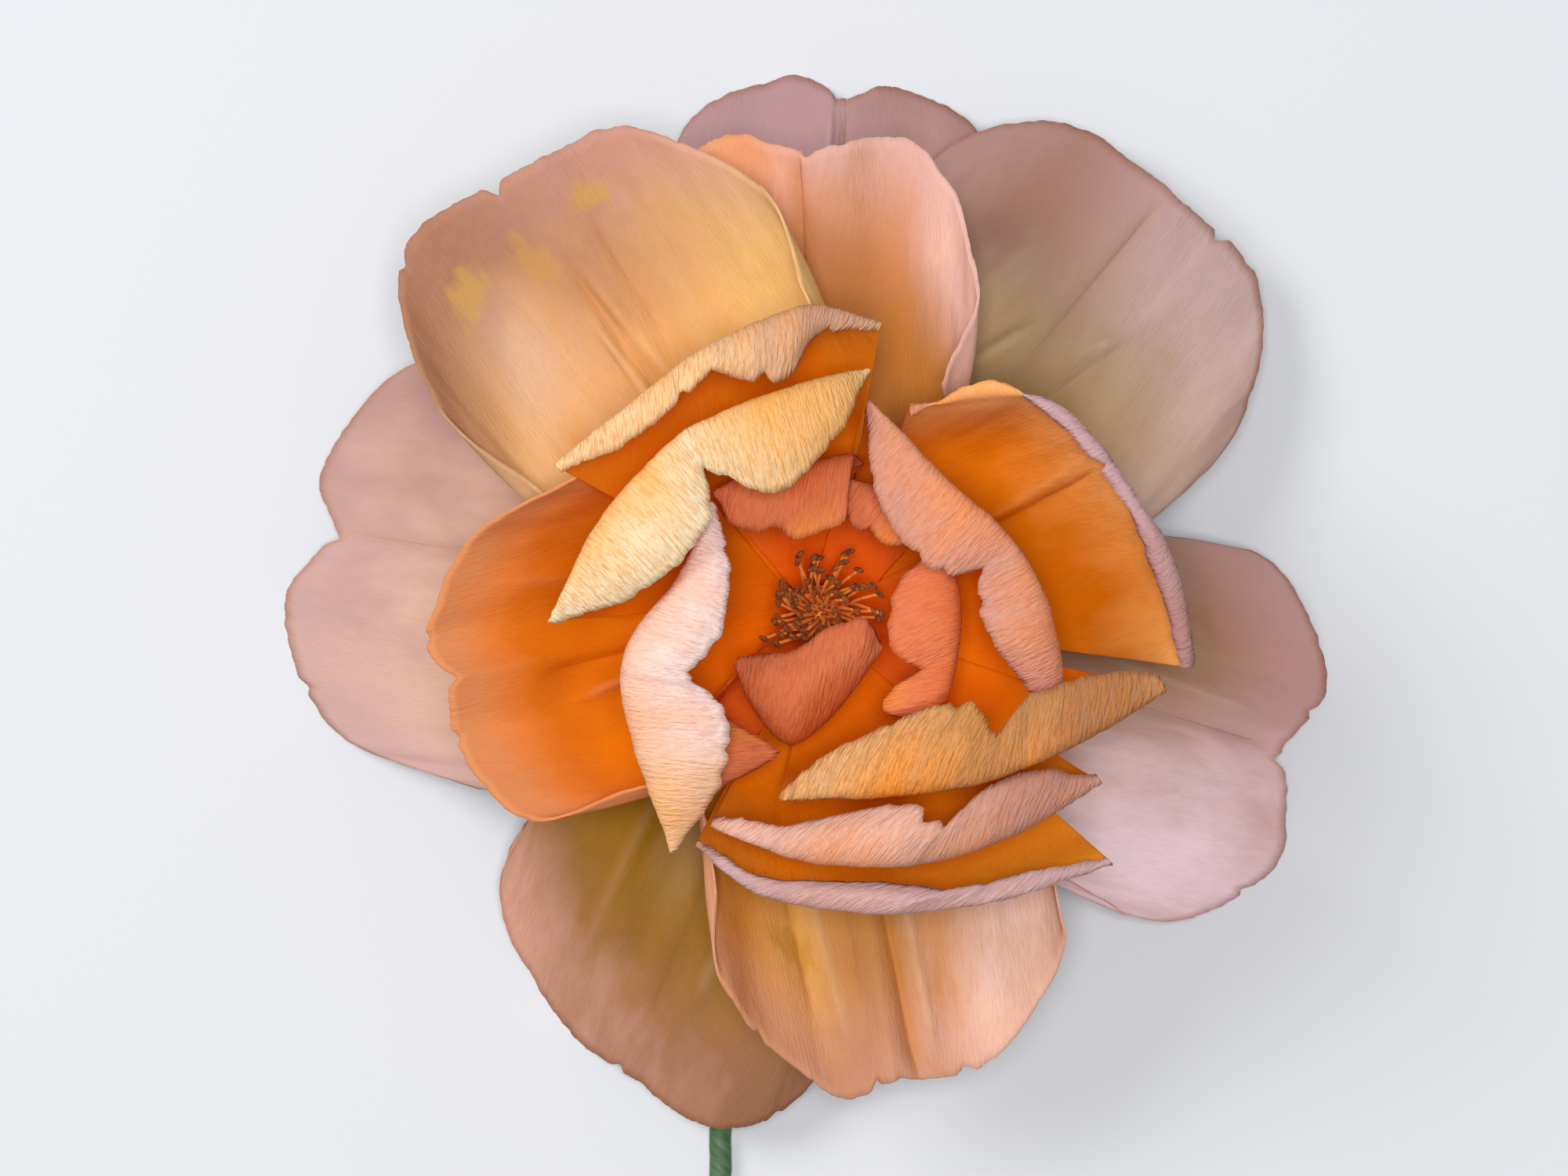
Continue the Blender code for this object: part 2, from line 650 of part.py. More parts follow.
def stem_path(length):
    """The stem's axis: down from the calyx, round the bend, and along the table to -Y."""
    path = []
    bend_steps = 8
    for step in range(bend_steps + 1):
        turn = math.radians(90) * step / bend_steps
        y = -STEM_BEND_RADIUS * (1 - math.cos(turn))
        path.append(Vector((0.0, y, STEM_RADIUS + STEM_BEND_RADIUS * (1 - math.sin(turn)))))
    start = STEM_BEND_RADIUS
    steps = math.ceil((length - start) / STEM_STEP)
    for step in range(1, steps + 1):
        reach = start + (length - start) * step / steps
        share = min((reach - start) / STEM_DRIFT, 1.0)
        drift = STEM_OFFSET * share * share * (3 - 2 * share)
        path.append(Vector((-drift, -reach, STEM_RADIUS)))
    return path


def make_stem(rose):
    """The stem's wire, and the strip of green paper wound round it."""
    path = stem_path(STEM_REACH)
    outer, _ = tube(path, STEM_RADIUS, STEM_SIDES)
    inner, _ = tube(path, WIRE_RADIUS + CLEARANCE, STEM_SIDES)
    count = len(outer)
    faces = []
    for ring in range(len(path) - 1):
        for step in range(STEM_SIDES):
            a = ring * STEM_SIDES + step
            b = ring * STEM_SIDES + (step + 1) % STEM_SIDES
            faces.append((a, b, b + STEM_SIDES, a + STEM_SIDES))
            faces.append((count + b, count + a, count + a + STEM_SIDES, count + b + STEM_SIDES))
    last = (len(path) - 1) * STEM_SIDES
    for step in range(STEM_SIDES):
        following = (step + 1) % STEM_SIDES
        faces.append((following, step, count + step, count + following))
        faces.append((last + step, last + following, count + last + following,
                      count + last + step))
    add_object("stem_wrap", outer + inner, faces, "leaf_green", rose)
    wire, wire_faces = tube(stem_path(STEM_REACH + WIRE_SHOWING), WIRE_RADIUS, 8)
    add_object("stem_wire", wire, wire_faces, "steel", rose)


def stamen_path(number, ring, root):
    """Points along one stamen, which leans outward by an uneven amount."""
    uneven = math.sin(number * 2.4 + ring * 1.7)
    lean = STAMEN_SPREAD * (0.35 + 0.65 * ring) + 0.5 * MM * uneven
    height = STAMEN_HEIGHT * (1.0 - 0.16 * ring) + 0.7 * MM * math.cos(number * 3.1)
    outward = Vector((root.x, root.y, 0.0)).normalized()
    path = []
    for share in (0.45, 0.85):
        path.append(root + outward * lean * share * share + Z_AXIS * height * share)
    tip = root + outward * lean + Z_AXIS * height
    way = (tip - path[-1]).normalized()
    path.append(tip)
    path.append(tip + way * ANTHER_LENGTH * 0.3)
    path.append(tip + way * ANTHER_LENGTH)
    return path


def make_stamens(rose):
    """The tuft of stamens: thick-tipped threads on one glued button over the core."""
    floor = CORE_TOP + CLEARANCE
    top = floor + STAMEN_BUTTON
    count = STAMENS_IN_RING
    vertices, faces = [], []

    def circle(radius, height):
        first = len(vertices)
        for number in range(count):
            angle = math.tau * number / count
            point = (radius * math.cos(angle), radius * math.sin(angle), height)
            vertices.append(Vector(point))
        return [first + number for number in range(count)]

    bottom = circle(STAMEN_RINGS[-1], floor)
    rings = [circle(radius, top) for radius in STAMEN_RINGS]
    faces.append(tuple(reversed(bottom)))
    faces.append(tuple(rings[0]))
    for number in range(count):
        following = (number + 1) % count
        faces.append((bottom[number], bottom[following], rings[-1][following],
                      rings[-1][number]))
        for ring in range(len(rings) - 1):
            cell = [rings[ring][number], rings[ring + 1][number],
                    rings[ring + 1][following], rings[ring][following]]
            root = sum((vertices[index] for index in cell), Vector()) / 4
            half = STAMEN_THICKNESS / 2
            wide = ANTHER_THICKNESS / 2
            halves = (half, half, half, wide, wide * 0.8)
            corners = [(vertices[index] - root).normalized() for index in cell]
            section = cell
            levels = zip([root] + stamen_path(number, ring, root), (half,) + halves)
            for centre, size in levels:
                first = len(vertices)
                vertices.extend(centre + corner * size * math.sqrt(2) for corner in corners)
                following_section = [first + corner for corner in range(4)]
                for corner in range(4):
                    after = (corner + 1) % 4
                    faces.append((section[corner], section[after],
                                  following_section[after], following_section[corner]))
                section = following_section
            faces.append(tuple(section))
    add_object("stamens", vertices, faces, "thread", rose)


def stand_on_origin(rose):
    """Shift the rose so that the origin is the middle of its footprint, on the table."""
    points = [vertex.co for piece in rose.children for vertex in piece.data.vertices]
    low = Vector([min(point[axis] for point in points) for axis in range(3)])
    high = Vector([max(point[axis] for point in points) for axis in range(3)])
    rose.location = (-(low.x + high.x) / 2, -(low.y + high.y) / 2, -low.z)
    bpy.context.view_layer.update()


def clear_rose():
    """Take away whatever the scene holds at the start."""
    for old in list(bpy.data.objects):
        bpy.data.objects.remove(old, do_unlink=True)


def main():
    clear_rose()
    rose = bpy.data.objects.new("rose", None)
    bpy.context.scene.collection.objects.link(rose)
    make_petals(rose)
    make_core(rose)
    make_stamens(rose)
    make_calyx(rose)
    make_sepals(rose)
    make_stem(rose)
    stand_on_origin(rose)


main()
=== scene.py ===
"""Looks of an open crepe-paper rose: crinkled petals, threads for stamens, a wrapped wire stem.

Every petal is drawn again from the sizes that shaped its solid, many times finer: the paper's
crinkle runs along the petal, its edge is torn, and its creases are folded in. All lengths in
the tables are millimetres from the flower's axis and the table that the rose lies on.
"""

import math

import bpy
import numpy as np
from mathutils import Matrix, Vector, noise
from mathutils.bvhtree import BVHTree


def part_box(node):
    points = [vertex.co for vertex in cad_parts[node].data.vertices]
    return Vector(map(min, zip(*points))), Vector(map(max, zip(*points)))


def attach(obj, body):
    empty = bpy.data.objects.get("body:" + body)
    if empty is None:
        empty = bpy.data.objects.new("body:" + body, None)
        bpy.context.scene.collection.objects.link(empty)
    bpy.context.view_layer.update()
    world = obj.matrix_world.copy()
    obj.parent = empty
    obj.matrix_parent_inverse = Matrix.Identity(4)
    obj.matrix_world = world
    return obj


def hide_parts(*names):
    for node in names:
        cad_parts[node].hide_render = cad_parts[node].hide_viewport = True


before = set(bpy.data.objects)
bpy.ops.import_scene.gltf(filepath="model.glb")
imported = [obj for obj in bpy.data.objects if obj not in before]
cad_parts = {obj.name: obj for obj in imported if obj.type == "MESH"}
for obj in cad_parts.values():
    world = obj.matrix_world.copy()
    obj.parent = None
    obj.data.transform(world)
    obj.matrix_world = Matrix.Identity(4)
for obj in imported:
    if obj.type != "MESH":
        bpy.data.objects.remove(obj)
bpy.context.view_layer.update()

MM = 0.001
Z_AXIS = Vector((0.0, 0.0, 1.0))

# Paper and the fit between pieces
PAPER = 0.40 * MM
CLEARANCE = 0.30 * MM
FACET_ALLOWANCE = 0.10 * MM

# Core and stamens
CORE_RADIUS = 3.0 * MM
CORE_BOTTOM = 13.0 * MM
CORE_TOP = 30.0 * MM
STAMEN_BUTTON = 1.2 * MM
STAMEN_HEIGHT = 8.6 * MM

# Stem: a wire in a paper wrap, bent flat under the flower, then drifting aside to its line
WIRE_RADIUS = 0.55 * MM
STEM_RADIUS = 1.45 * MM
STEM_BEND_RADIUS = 4.8 * MM
STEM_OFFSET = 12.5 * MM
STEM_DRIFT = 55.0 * MM
STEM_REACH = 138.0 * MM
STEM_STEP = 6.0 * MM

# Calyx and sepals
CALYX_RADIUS = 5.0 * MM
CALYX_BOTTOM = STEM_RADIUS + STEM_BEND_RADIUS + CLEARANCE
CALYX_NECK_RADIUS = 2.6 * MM
CALYX_WIDEST = 0.80
SEPAL_COUNT = 5
SEPAL_LENGTH = 19.0 * MM
SEPAL_WIDTH = 6.5 * MM
SEPAL_DROOP = 3.5 * MM
SEPAL_TIP = 1.04

# Where each layer of petals is glued to the core, and how far its claws run up the core
CENTRE_CLAW_BOTTOM = 24.6 * MM
CUP_CLAW_BOTTOM = 24.0 * MM
MIDDLE_CLAW_BOTTOM = 22.8 * MM
OUTER_CLAW_BOTTOM = 18.8 * MM
CUP_CLAW_HEIGHT = 3.0 * MM
OPEN_CLAW_HEIGHT = 0.8 * MM
OPEN_CLAW_STEP = 0.8 * MM
CLAW_RADIUS = CORE_RADIUS + CLEARANCE + PAPER / 2
CLAW_HALF_ANGLE = math.radians(42)
CLAW_FLARE = 1.15

# The flower's width from side to side, and the width at which its petals' tables are drawn
FLOWER_WIDTH = 131.8 * MM
DRAWN_WIDTH = 131.8 * MM

# How far behind a petal an inner one is looked for, on its wall and on its rolled rim, how
# straight behind it has to be, and how a petal is eased clear of it
WALL_REACH = 6.0 * MM
ROLL_REACH = 0.6 * MM
BEHIND_SHARE = 0.85
EASED_ENOUGH = FACET_ALLOWANCE / 5
EASE_STEP = 2.0 * MM
EASE_ROUNDS = 24
CLAW_ROWS = 2
FOLLOW_ROUNDS = 4
OPEN_EASE_OUT = 0.3

# Each petal is one row: its rim and its fold, as points (x, y, z) in millimetres from the
# flower's axis and the table, in anticlockwise order seen from above. The middle point of
# the rim is the notch. A petal without a fold is open and has only a rim.
CENTRE_PETALS = {
    "centre_petal_front": {
        "rim": ((-9.7, -5.2, 45), (-6.5, -4.9, 46), (-3.0, -4.3, 46), (0.0, -2.3, 46),
                (2.5, -1.0, 46), (5.0, -0.9, 46), (6.5, -3.6, 45)),
        "fold": ((-10.2, -6.2, 45), (-8.2, -11.0, 44), (-4.2, -15.4, 43), (0.0, -13.2, 43),
                 (3.8, -8.8, 44), (6.9, -4.2, 45)),
    },
    "centre_petal_right": {
        "rim": ((12.2, -12.6, 46), (7.0, -11.7, 47), (8.2, -9.0, 47), (11.5, -7.0, 47),
                (7.6, -4.0, 47), (8.3, 2.5, 47), (12.6, 7.0, 46)),
        "fold": ((13.2, -13.0, 45), (14.8, -9.0, 46), (15.6, -4.5, 46), (16.0, 1.5, 46),
                 (14.4, 7.4, 45)),
    },
    "centre_petal_upper_right": {
        "rim": ((10.6, 8.2, 45), (8.6, 7.2, 46), (6.2, 8.4, 46), (5.4, 9.6, 46),
                (4.0, 9.4, 46), (2.8, 11.0, 46), (2.2, 14.0, 45)),
        "fold": ((11.6, 9.0, 45), (10.0, 12.0, 45), (6.5, 14.4, 45), (2.6, 15.4, 45)),
    },
    "centre_petal_upper": {
        "rim": ((1.6, 13.6, 46), (0.9, 9.9, 47), (-3.2, 8.4, 47), (-5.4, 9.8, 47),
                (-8.0, 9.0, 47), (-10.8, 9.9, 47), (-12.0, 12.6, 46)),
        "fold": ((2.4, 15.2, 46), (-1.5, 17.2, 46), (-6.0, 17.4, 46), (-12.8, 13.8, 46)),
    },
    "centre_petal_lower_left": {
        "rim": ((-12.6, -11.4, 45), (-10.0, -13.2, 46), (-7.0, -14.9, 46), (-4.7, -16.3, 46),
                (-6.4, -17.6, 46), (-9.0, -19.0, 46), (-11.4, -19.8, 45)),
        "fold": ((-13.6, -11.4, 45), (-15.4, -15.0, 45), (-15.0, -18.4, 45),
                 (-12.2, -21.2, 45)),
    },
}

CUP_PETALS = {
    "cup_petal_right": {
        "rim": ((24.0, -9.4, 50), (19.5, -4.0, 53), (17.6, 1.0, 53), (17.9, 4.8, 54),
                (12.5, 4.3, 54), (6.3, 12.0, 54), (4.8, 22.8, 52)),
        "fold": ((28.0, -9.5, 48), (26.2, 0.0, 51), (21.8, 8.0, 53), (15.0, 14.5, 54),
                 (5.2, 24.2, 52)),
    },
    "cup_petal_lower_right": {
        "rim": ((-4.4, -20.4, 51), (3.5, -14.5, 54), (16.0, -9.9, 56), (19.9, -14.0, 57),
                (24.0, -9.0, 56), (32.0, -6.7, 55), (38.4, -6.8, 53)),
        "fold": ((-5.0, -21.3, 51), (5.0, -21.4, 54), (16.5, -19.9, 55), (27.5, -16.0, 55),
                 (39.0, -9.2, 53)),
    },
    "cup_petal_lower": {
        "rim": ((-12.2, -23.6, 49), (-3.0, -24.1, 53), (10.0, -21.8, 55), (14.2, -24.0, 56),
                (19.5, -19.3, 55), (25.0, -18.0, 54), (31.2, -18.6, 51)),
        "fold": ((-12.9, -24.5, 49), (-3.0, -28.4, 52), (9.0, -29.2, 53), (20.0, -26.4, 53),
                 (31.8, -19.6, 51)),
    },
    "cup_petal_bottom": {
        "rim": ((-14.3, -26.4, 45), (-6.0, -31.0, 48), (6.0, -31.2, 49), (14.5, -32.2, 50),
                (20.0, -31.0, 49), (26.0, -29.6, 48), (32.8, -28.5, 46)),
        "fold": ((-14.8, -27.2, 45), (-6.5, -32.8, 47), (7.0, -34.6, 48), (20.0, -33.2, 48),
                 (33.4, -29.1, 46)),
    },
    "cup_petal_left": {
        "rim": ((-12.0, 11.8, 52), (-10.6, 5.0, 54), (-11.4, -2.5, 55), (-15.3, -7.0, 56),
                (-10.8, -12.0, 55), (-11.2, -19.0, 54), (-16.2, -27.0, 50)),
        "fold": ((-12.8, 12.6, 52), (-16.0, 5.0, 53), (-22.8, -5.0, 54), (-21.8, -15.0, 53),
                 (-17.4, -27.6, 50)),
    },
    "cup_petal_upper": {
        "rim": ((5.0, 26.9, 53), (2.2, 20.5, 56), (-4.5, 13.5, 57), (-13.2, 15.8, 58),
                (-13.0, 9.6, 58), (-19.0, 3.0, 57), (-30.0, -1.9, 53)),
        "fold": ((5.4, 27.6, 52), (-3.0, 25.9, 55), (-15.5, 20.6, 57), (-25.5, 10.5, 56),
                 (-31.4, -1.0, 53)),
    },
    "cup_petal_top": {
        "rim": ((6.4, 32.3, 49), (-1.0, 31.6, 52), (-5.0, 25.9, 54), (-12.8, 27.3, 55),
                (-17.5, 23.0, 54), (-23.5, 18.5, 52), (-30.0, 15.8, 49)),
        "fold": ((6.8, 33.1, 48), (-2.0, 34.9, 51), (-12.0, 31.0, 52), (-21.5, 24.2, 51),
                 (-31.0, 16.9, 48)),
    },
}

MIDDLE_PETALS = {
    "middle_petal_right": {
        "rim": ((41.8, -6.5, 43), (39.2, 2.5, 45), (36.0, 10.6, 46), (34.2, 13.6, 46),
                (26.5, 22.6, 47), (18.5, 26.8, 46), (10.4, 22.6, 43)),
        "fold": ((42.8, -6.6, 42), (41.6, 3.0, 44), (35.6, 14.2, 45), (26.0, 24.0, 45),
                 (10.2, 23.6, 42)),
    },
    "middle_petal_left": {
        "rim": ((-27.0, 16.5, 43), (-40.5, 9.5, 42), (-47.0, -2.5, 40), (-44.4, -8.0, 41),
                (-43.4, -15.0, 40), (-35.0, -24.2, 41), (-20.0, -20.6, 40)),
    },
    "middle_petal_upper_left": {
        "rim": ((-0.6, 33.0, 40), (-6.6, 49.0, 38), (-22.6, 57.6, 34), (-36.8, 52.4, 36),
                (-50.0, 43.0, 33), (-46.4, 25.4, 35), (-32.4, 13.1, 37)),
    },
    "middle_petal_lower": {
        "rim": ((-13.0, -26.0, 34), (-11.6, -45.0, 32), (1.0, -58.4, 27), (8.8, -56.6, 30),
                (20.5, -54.4, 27), (28.8, -41.0, 31), (27.0, -28.0, 34)),
    },
    "middle_petal_top": {
        "rim": ((14.0, 27.0, 36), (18.4, 39.0, 35), (11.5, 56.2, 29), (-2.6, 55.0, 31),
                (-11.5, 57.4, 27), (-20.0, 50.0, 28), (-22.0, 34.0, 30)),
    },
}

OUTER_PETALS = {
    "outer_petal_upper_right": {
        "rim": ((35.0, 8.4, 19), (50.6, 20.4, 13), (54.8, 39.8, 8), (43.6, 52.2, 11),
                (29.6, 60.8, 8), (14.0, 55.6, 11), (10.0, 38.0, 17)),
    },
    "outer_petal_top": {
        "rim": ((15.0, 40.0, 13), (20.4, 58.4, 5), (9.7, 65.8, 1), (3.4, 64.4, 3),
                (-4.5, 67.4, 0.3), (-16.9, 60.6, 4), (-21.0, 42.0, 13)),
    },
    "outer_petal_left": {
        "rim": ((-34.0, 30.0, 18), (-51.9, 30.1, 8), (-62.5, 17.8, 2), (-60.7, 9.8, 4),
                (-67.6, 0.0, 0.3), (-60.9, -15.4, 2), (-42.4, -22.0, 13)),
    },
    "outer_petal_lower_left": {
        "rim": ((-30.4, -20.0, 18), (-39.8, -34.2, 7), (-34.0, -50.6, 0.3), (-24.8, -58.2, 5),
                (-12.7, -64.6, 7), (-1.0, -59.1, 9), (6.0, -40.0, 17)),
    },
    "outer_petal_right": {
        "rim": ((27.0, -31.4, 17), (43.6, -39.0, 6), (57.8, -31.8, 0.3), (58.2, -17.7, 4),
                (64.0, -8.0, 0.3), (55.0, 6.8, 5), (37.2, 5.4, 13)),
    },
}

# Where a rolled petal's belly lies between claw and fold, and an open one's belly and shoulder
# between claw and rim, as shares of the way out and of the way up. Then how deep an open petal
# is cupped, how wide its sides bulge, the arch over a layer's belly, and how high a roll rises
CUP_BELLY_OUT = 0.74
CUP_BELLY_UP = 0.42
OPEN_BELLY_OUT = 0.52
OPEN_BELLY_UP = 0.40
OPEN_SHOULDER_OUT = 0.80
OPEN_SHOULDER_UP = 0.80
SHOULDER_SHARE = 0.6
OPEN_CUPPING = 2.0 * MM
OPEN_SIDE_BULGE = 6.5 * MM
MIDDLE_ARCH = 0.0 * MM
OUTER_ARCH = 7.0 * MM
ROLL_RISE = 0.15

# Share of a rolled petal's rows that lie below its fold, and the steps in which a rib is
# measured
FOLD_SHARE = 0.62
RIB_STEPS = 60

# Segments of a petal's grid from claw to rim and from side to side
CENTRE_ROWS, CENTRE_COLUMNS = 6, 8
CUP_ROWS, CUP_COLUMNS = 9, 12
OPEN_ROWS, OPEN_COLUMNS = 7, 12

# Each layer's petals, colour, claw height on the core, arch over an open petal's belly, grid
PETAL_KINDS = (
    (CENTRE_PETALS, "coral", CENTRE_CLAW_BOTTOM, 0.0, CENTRE_ROWS, CENTRE_COLUMNS),
    (CUP_PETALS, "orange", CUP_CLAW_BOTTOM, 0.0, CUP_ROWS, CUP_COLUMNS),
    (MIDDLE_PETALS, "apricot", MIDDLE_CLAW_BOTTOM, MIDDLE_ARCH, OPEN_ROWS, OPEN_COLUMNS),
    (OUTER_PETALS, "peach", OUTER_CLAW_BOTTOM, OUTER_ARCH, OPEN_ROWS, OPEN_COLUMNS),
)

# The fine sheets: the paper's thickness as seen, and its crinkle, its waves and its rim's
# ruffle, each by its pitch across the grain and its length along it. The paper comes loose
# from one share of the way up over the next share, and the ruffle starts at the last one
SEEN_PAPER = 0.30 * MM
CRINKLE_PITCH = 0.8 * MM
CRINKLE_LENGTH = 3.4 * MM
WAVE_PITCH = 3.6 * MM
WAVE_LENGTH = 18.0 * MM
RUFFLE_PITCH = 9.0 * MM
RUFFLE_LENGTH = 40.0 * MM
LOOSE_FROM = 0.12
LOOSE_OVER = 0.35
RUFFLE_FROM = 0.35

# The pitch of the torn edge, its deepest tear, and how wide a nick is to either side
TEAR_PITCH = 1.6 * MM
TEAR_LIMIT = 3.0 * MM
NICK_WIDTH = 1.1 * MM

# The room that a sheet's relief leaves to the next petal, how far off that petal is looked
# for, and the least room that is counted with
ROOM_NEEDED = 0.35 * MM
ROOM_LIMIT = 5.0 * MM
LEAST_ROOM = 0.01 * MM

# Each petal's noise starts at a place of its own
FIRST_SEED = 0.5
SEED_STEP = 1.7

# A pressed crease: the share of the length over which it fades at either end, how far it runs
# past its end, and how sharp its bottom is
CREASE_FADE = 0.10
CREASE_PAST = 0.02
CREASE_SHARPNESS = 1.15

# The length that one unit of the paper's map stands for, and the patterns on it, each by its
# spacing across the grain and along it. The streaks are partly the dye's own unevenness and partly
# painted shade in the crinkle's valleys. Crepe's own fibres are finer than a render shows, so its
# streaks and ridges are drawn as coarse as they need to show
UV_UNIT = 100.0 * MM
MOTTLE = (9.0 * MM, 16.0 * MM)
FLECKS = (1.6 * MM, 2.4 * MM)
STREAKS = (0.36 * MM, 1.9 * MM)
RIDGES = (0.40 * MM, 2.0 * MM)

# Each layer's fine grid, as rows from claw to rim and columns from side to side, and how deep
# its crinkle, its waves, its rim's ruffle and its torn edge are
FINE_SHEETS = {
    "coral": (40, 120, 0.04 * MM, 0.12 * MM, 0.3 * MM, 0.35 * MM),
    "orange": (54, 230, 0.06 * MM, 0.16 * MM, 0.4 * MM, 0.45 * MM),
    "apricot": (44, 230, 0.03 * MM, 0.16 * MM, 0.9 * MM, 0.35 * MM),
    "peach": (44, 230, 0.02 * MM, 0.14 * MM, 0.9 * MM, 0.30 * MM),
}

# Nicks torn into a rim: share of the rim from side to side, and depth in millimetres
NICKS = {
    "cup_petal_top": ((0.38, 1.6), (0.62, 0.8), (0.15, 0.6)),
    "cup_petal_upper": ((0.50, 1.0), (0.28, 0.5), (0.80, 0.5)),
    "cup_petal_left": ((0.50, 0.9), (0.12, 0.5), (0.70, 0.6)),
    "cup_petal_right": ((0.50, 1.2), (0.30, 0.7), (0.58, 0.6)),
    "cup_petal_lower_right": ((0.46, 1.2), (0.30, 0.6)),
    "cup_petal_lower": ((0.55, 1.6), (0.60, 0.8), (0.20, 0.5)),
    "cup_petal_bottom": ((0.40, 0.8), (0.72, 0.7)),
    "middle_petal_upper_left": ((0.52, 1.6), (0.66, 0.7), (0.86, 0.9)),
    "middle_petal_left": ((0.50, 1.4), (0.60, 0.8), (0.42, 0.7)),
    "middle_petal_lower": ((0.50, 1.2), (0.30, 0.8), (0.63, 0.7)),
    "middle_petal_top": ((0.55, 0.8), (0.20, 0.5)),
    "middle_petal_right": ((0.50, 1.4), (0.30, 0.7)),
    "outer_petal_upper_right": ((0.45, 1.4), (0.25, 0.6)),
    "outer_petal_top": ((0.5, 0.9),),
    "outer_petal_left": ((0.48, 1.2), (0.7, 0.6)),
    "outer_petal_lower_left": ((0.5, 1.0), (0.72, 0.8)),
    "outer_petal_right": ((0.5, 1.4), (0.32, 0.8), (0.58, 0.7)),
}

# Creases pressed into a petal: place across the paper where it starts and ends, in
# millimetres from the middle, share of the length at which it starts and ends, depth (a
# negative one stands up on the front) and width
CREASES = {
    "middle_petal_upper_left": (
        (0.5, 1.0, 0.30, 0.80, 1.5, 1.1),
        (2.6, 2.8, 0.34, 0.70, -1.6, 1.0),
        (5.0, 3.8, 0.40, 0.64, 1.0, 0.9),
        (-1.8, 0.0, 0.44, 0.76, -1.2, 0.9),
        (-3.6, -4.8, 0.56, 0.86, 0.8, 1.0),
        (7.5, 9.6, 0.50, 0.82, -0.7, 1.6),
        (-8.0, -11.0, 0.50, 0.85, -0.6, 2.2),
    ),
    "middle_petal_lower": (
        (1.0, 3.4, 0.22, 1.0, 1.8, 1.2),
        (3.4, 5.6, 0.30, 0.95, -1.2, 1.4),
        (-8.0, -6.0, 0.40, 0.90, -0.9, 1.4),
        (-11.0, -10.0, 0.50, 0.85, 0.8, 1.4),
        (-4.0, -3.4, 0.45, 0.80, 0.6, 1.1),
        (9.0, 10.0, 0.45, 0.95, 0.5, 2.0),
    ),
    "middle_petal_right": ((1.0, 4.0, 0.30, 0.86, 1.0, 1.0), (2.8, 6.2, 0.40, 0.80, -0.7, 1.3)),
    "middle_petal_top": (
        (0.0, 0.5, 0.25, 1.0, 1.8, 1.8),
        (3.2, 3.6, 0.30, 0.95, -1.0, 1.8),
        (8.0, 7.0, 0.30, 0.9, 0.7, 1.8),
    ),
    "middle_petal_left": (
        (0.0, 2.0, 0.20, 0.72, 1.2, 1.3),
        (2.4, 5.8, 0.35, 0.66, -0.9, 1.1),
        (-4.0, -7.0, 0.30, 0.62, 0.8, 1.3),
        (-9.0, -12.0, 0.45, 0.85, -0.5, 2.0),
    ),
    "outer_petal_upper_right": (
        (0.0, 0.0, 0.35, 1.0, 1.2, 1.3),
        (6.4, 1.2, 0.46, 0.66, -1.3, 0.9),
        (8.4, 3.2, 0.46, 0.66, 1.1, 0.8),
        (-4.0, -8.0, 0.50, 0.70, 0.9, 0.9),
        (-1.5, -9.0, 0.58, 0.76, -0.9, 1.0),
        (12.0, 8.0, 0.50, 0.80, -0.6, 1.8),
    ),
    "outer_petal_left": (
        (0.0, 0.0, 0.35, 1.0, 1.0, 1.4),
        (-9.0, -8.0, 0.6, 0.9, 0.5, 2.0),
        (7.0, 8.0, 0.5, 0.9, -0.6, 2.4),
    ),
    "outer_petal_right": (
        (0.0, 0.0, 0.30, 1.0, 1.4, 1.3),
        (5.0, 4.0, 0.45, 0.90, -1.0, 1.4),
        (-5.0, -3.0, 0.40, 0.85, 1.0, 1.3),
        (-8.0, -7.0, 0.45, 0.90, -0.9, 1.8),
        (9.0, 10.0, 0.55, 0.95, 0.6, 1.8),
    ),
    "outer_petal_top": ((0.0, 0.0, 0.35, 1.0, 1.2, 1.3), (2.2, 2.4, 0.5, 1.0, -0.8, 1.4)),
    "outer_petal_lower_left": (
        (0.0, 0.0, 0.25, 0.9, 1.0, 1.8),
        (6.0, 5.0, 0.3, 0.8, -0.9, 1.8),
        (-6.0, -7.0, 0.4, 0.85, 0.9, 1.8),
        (-10.0, -12.0, 0.4, 0.85, -0.7, 2.2),
    ),
}
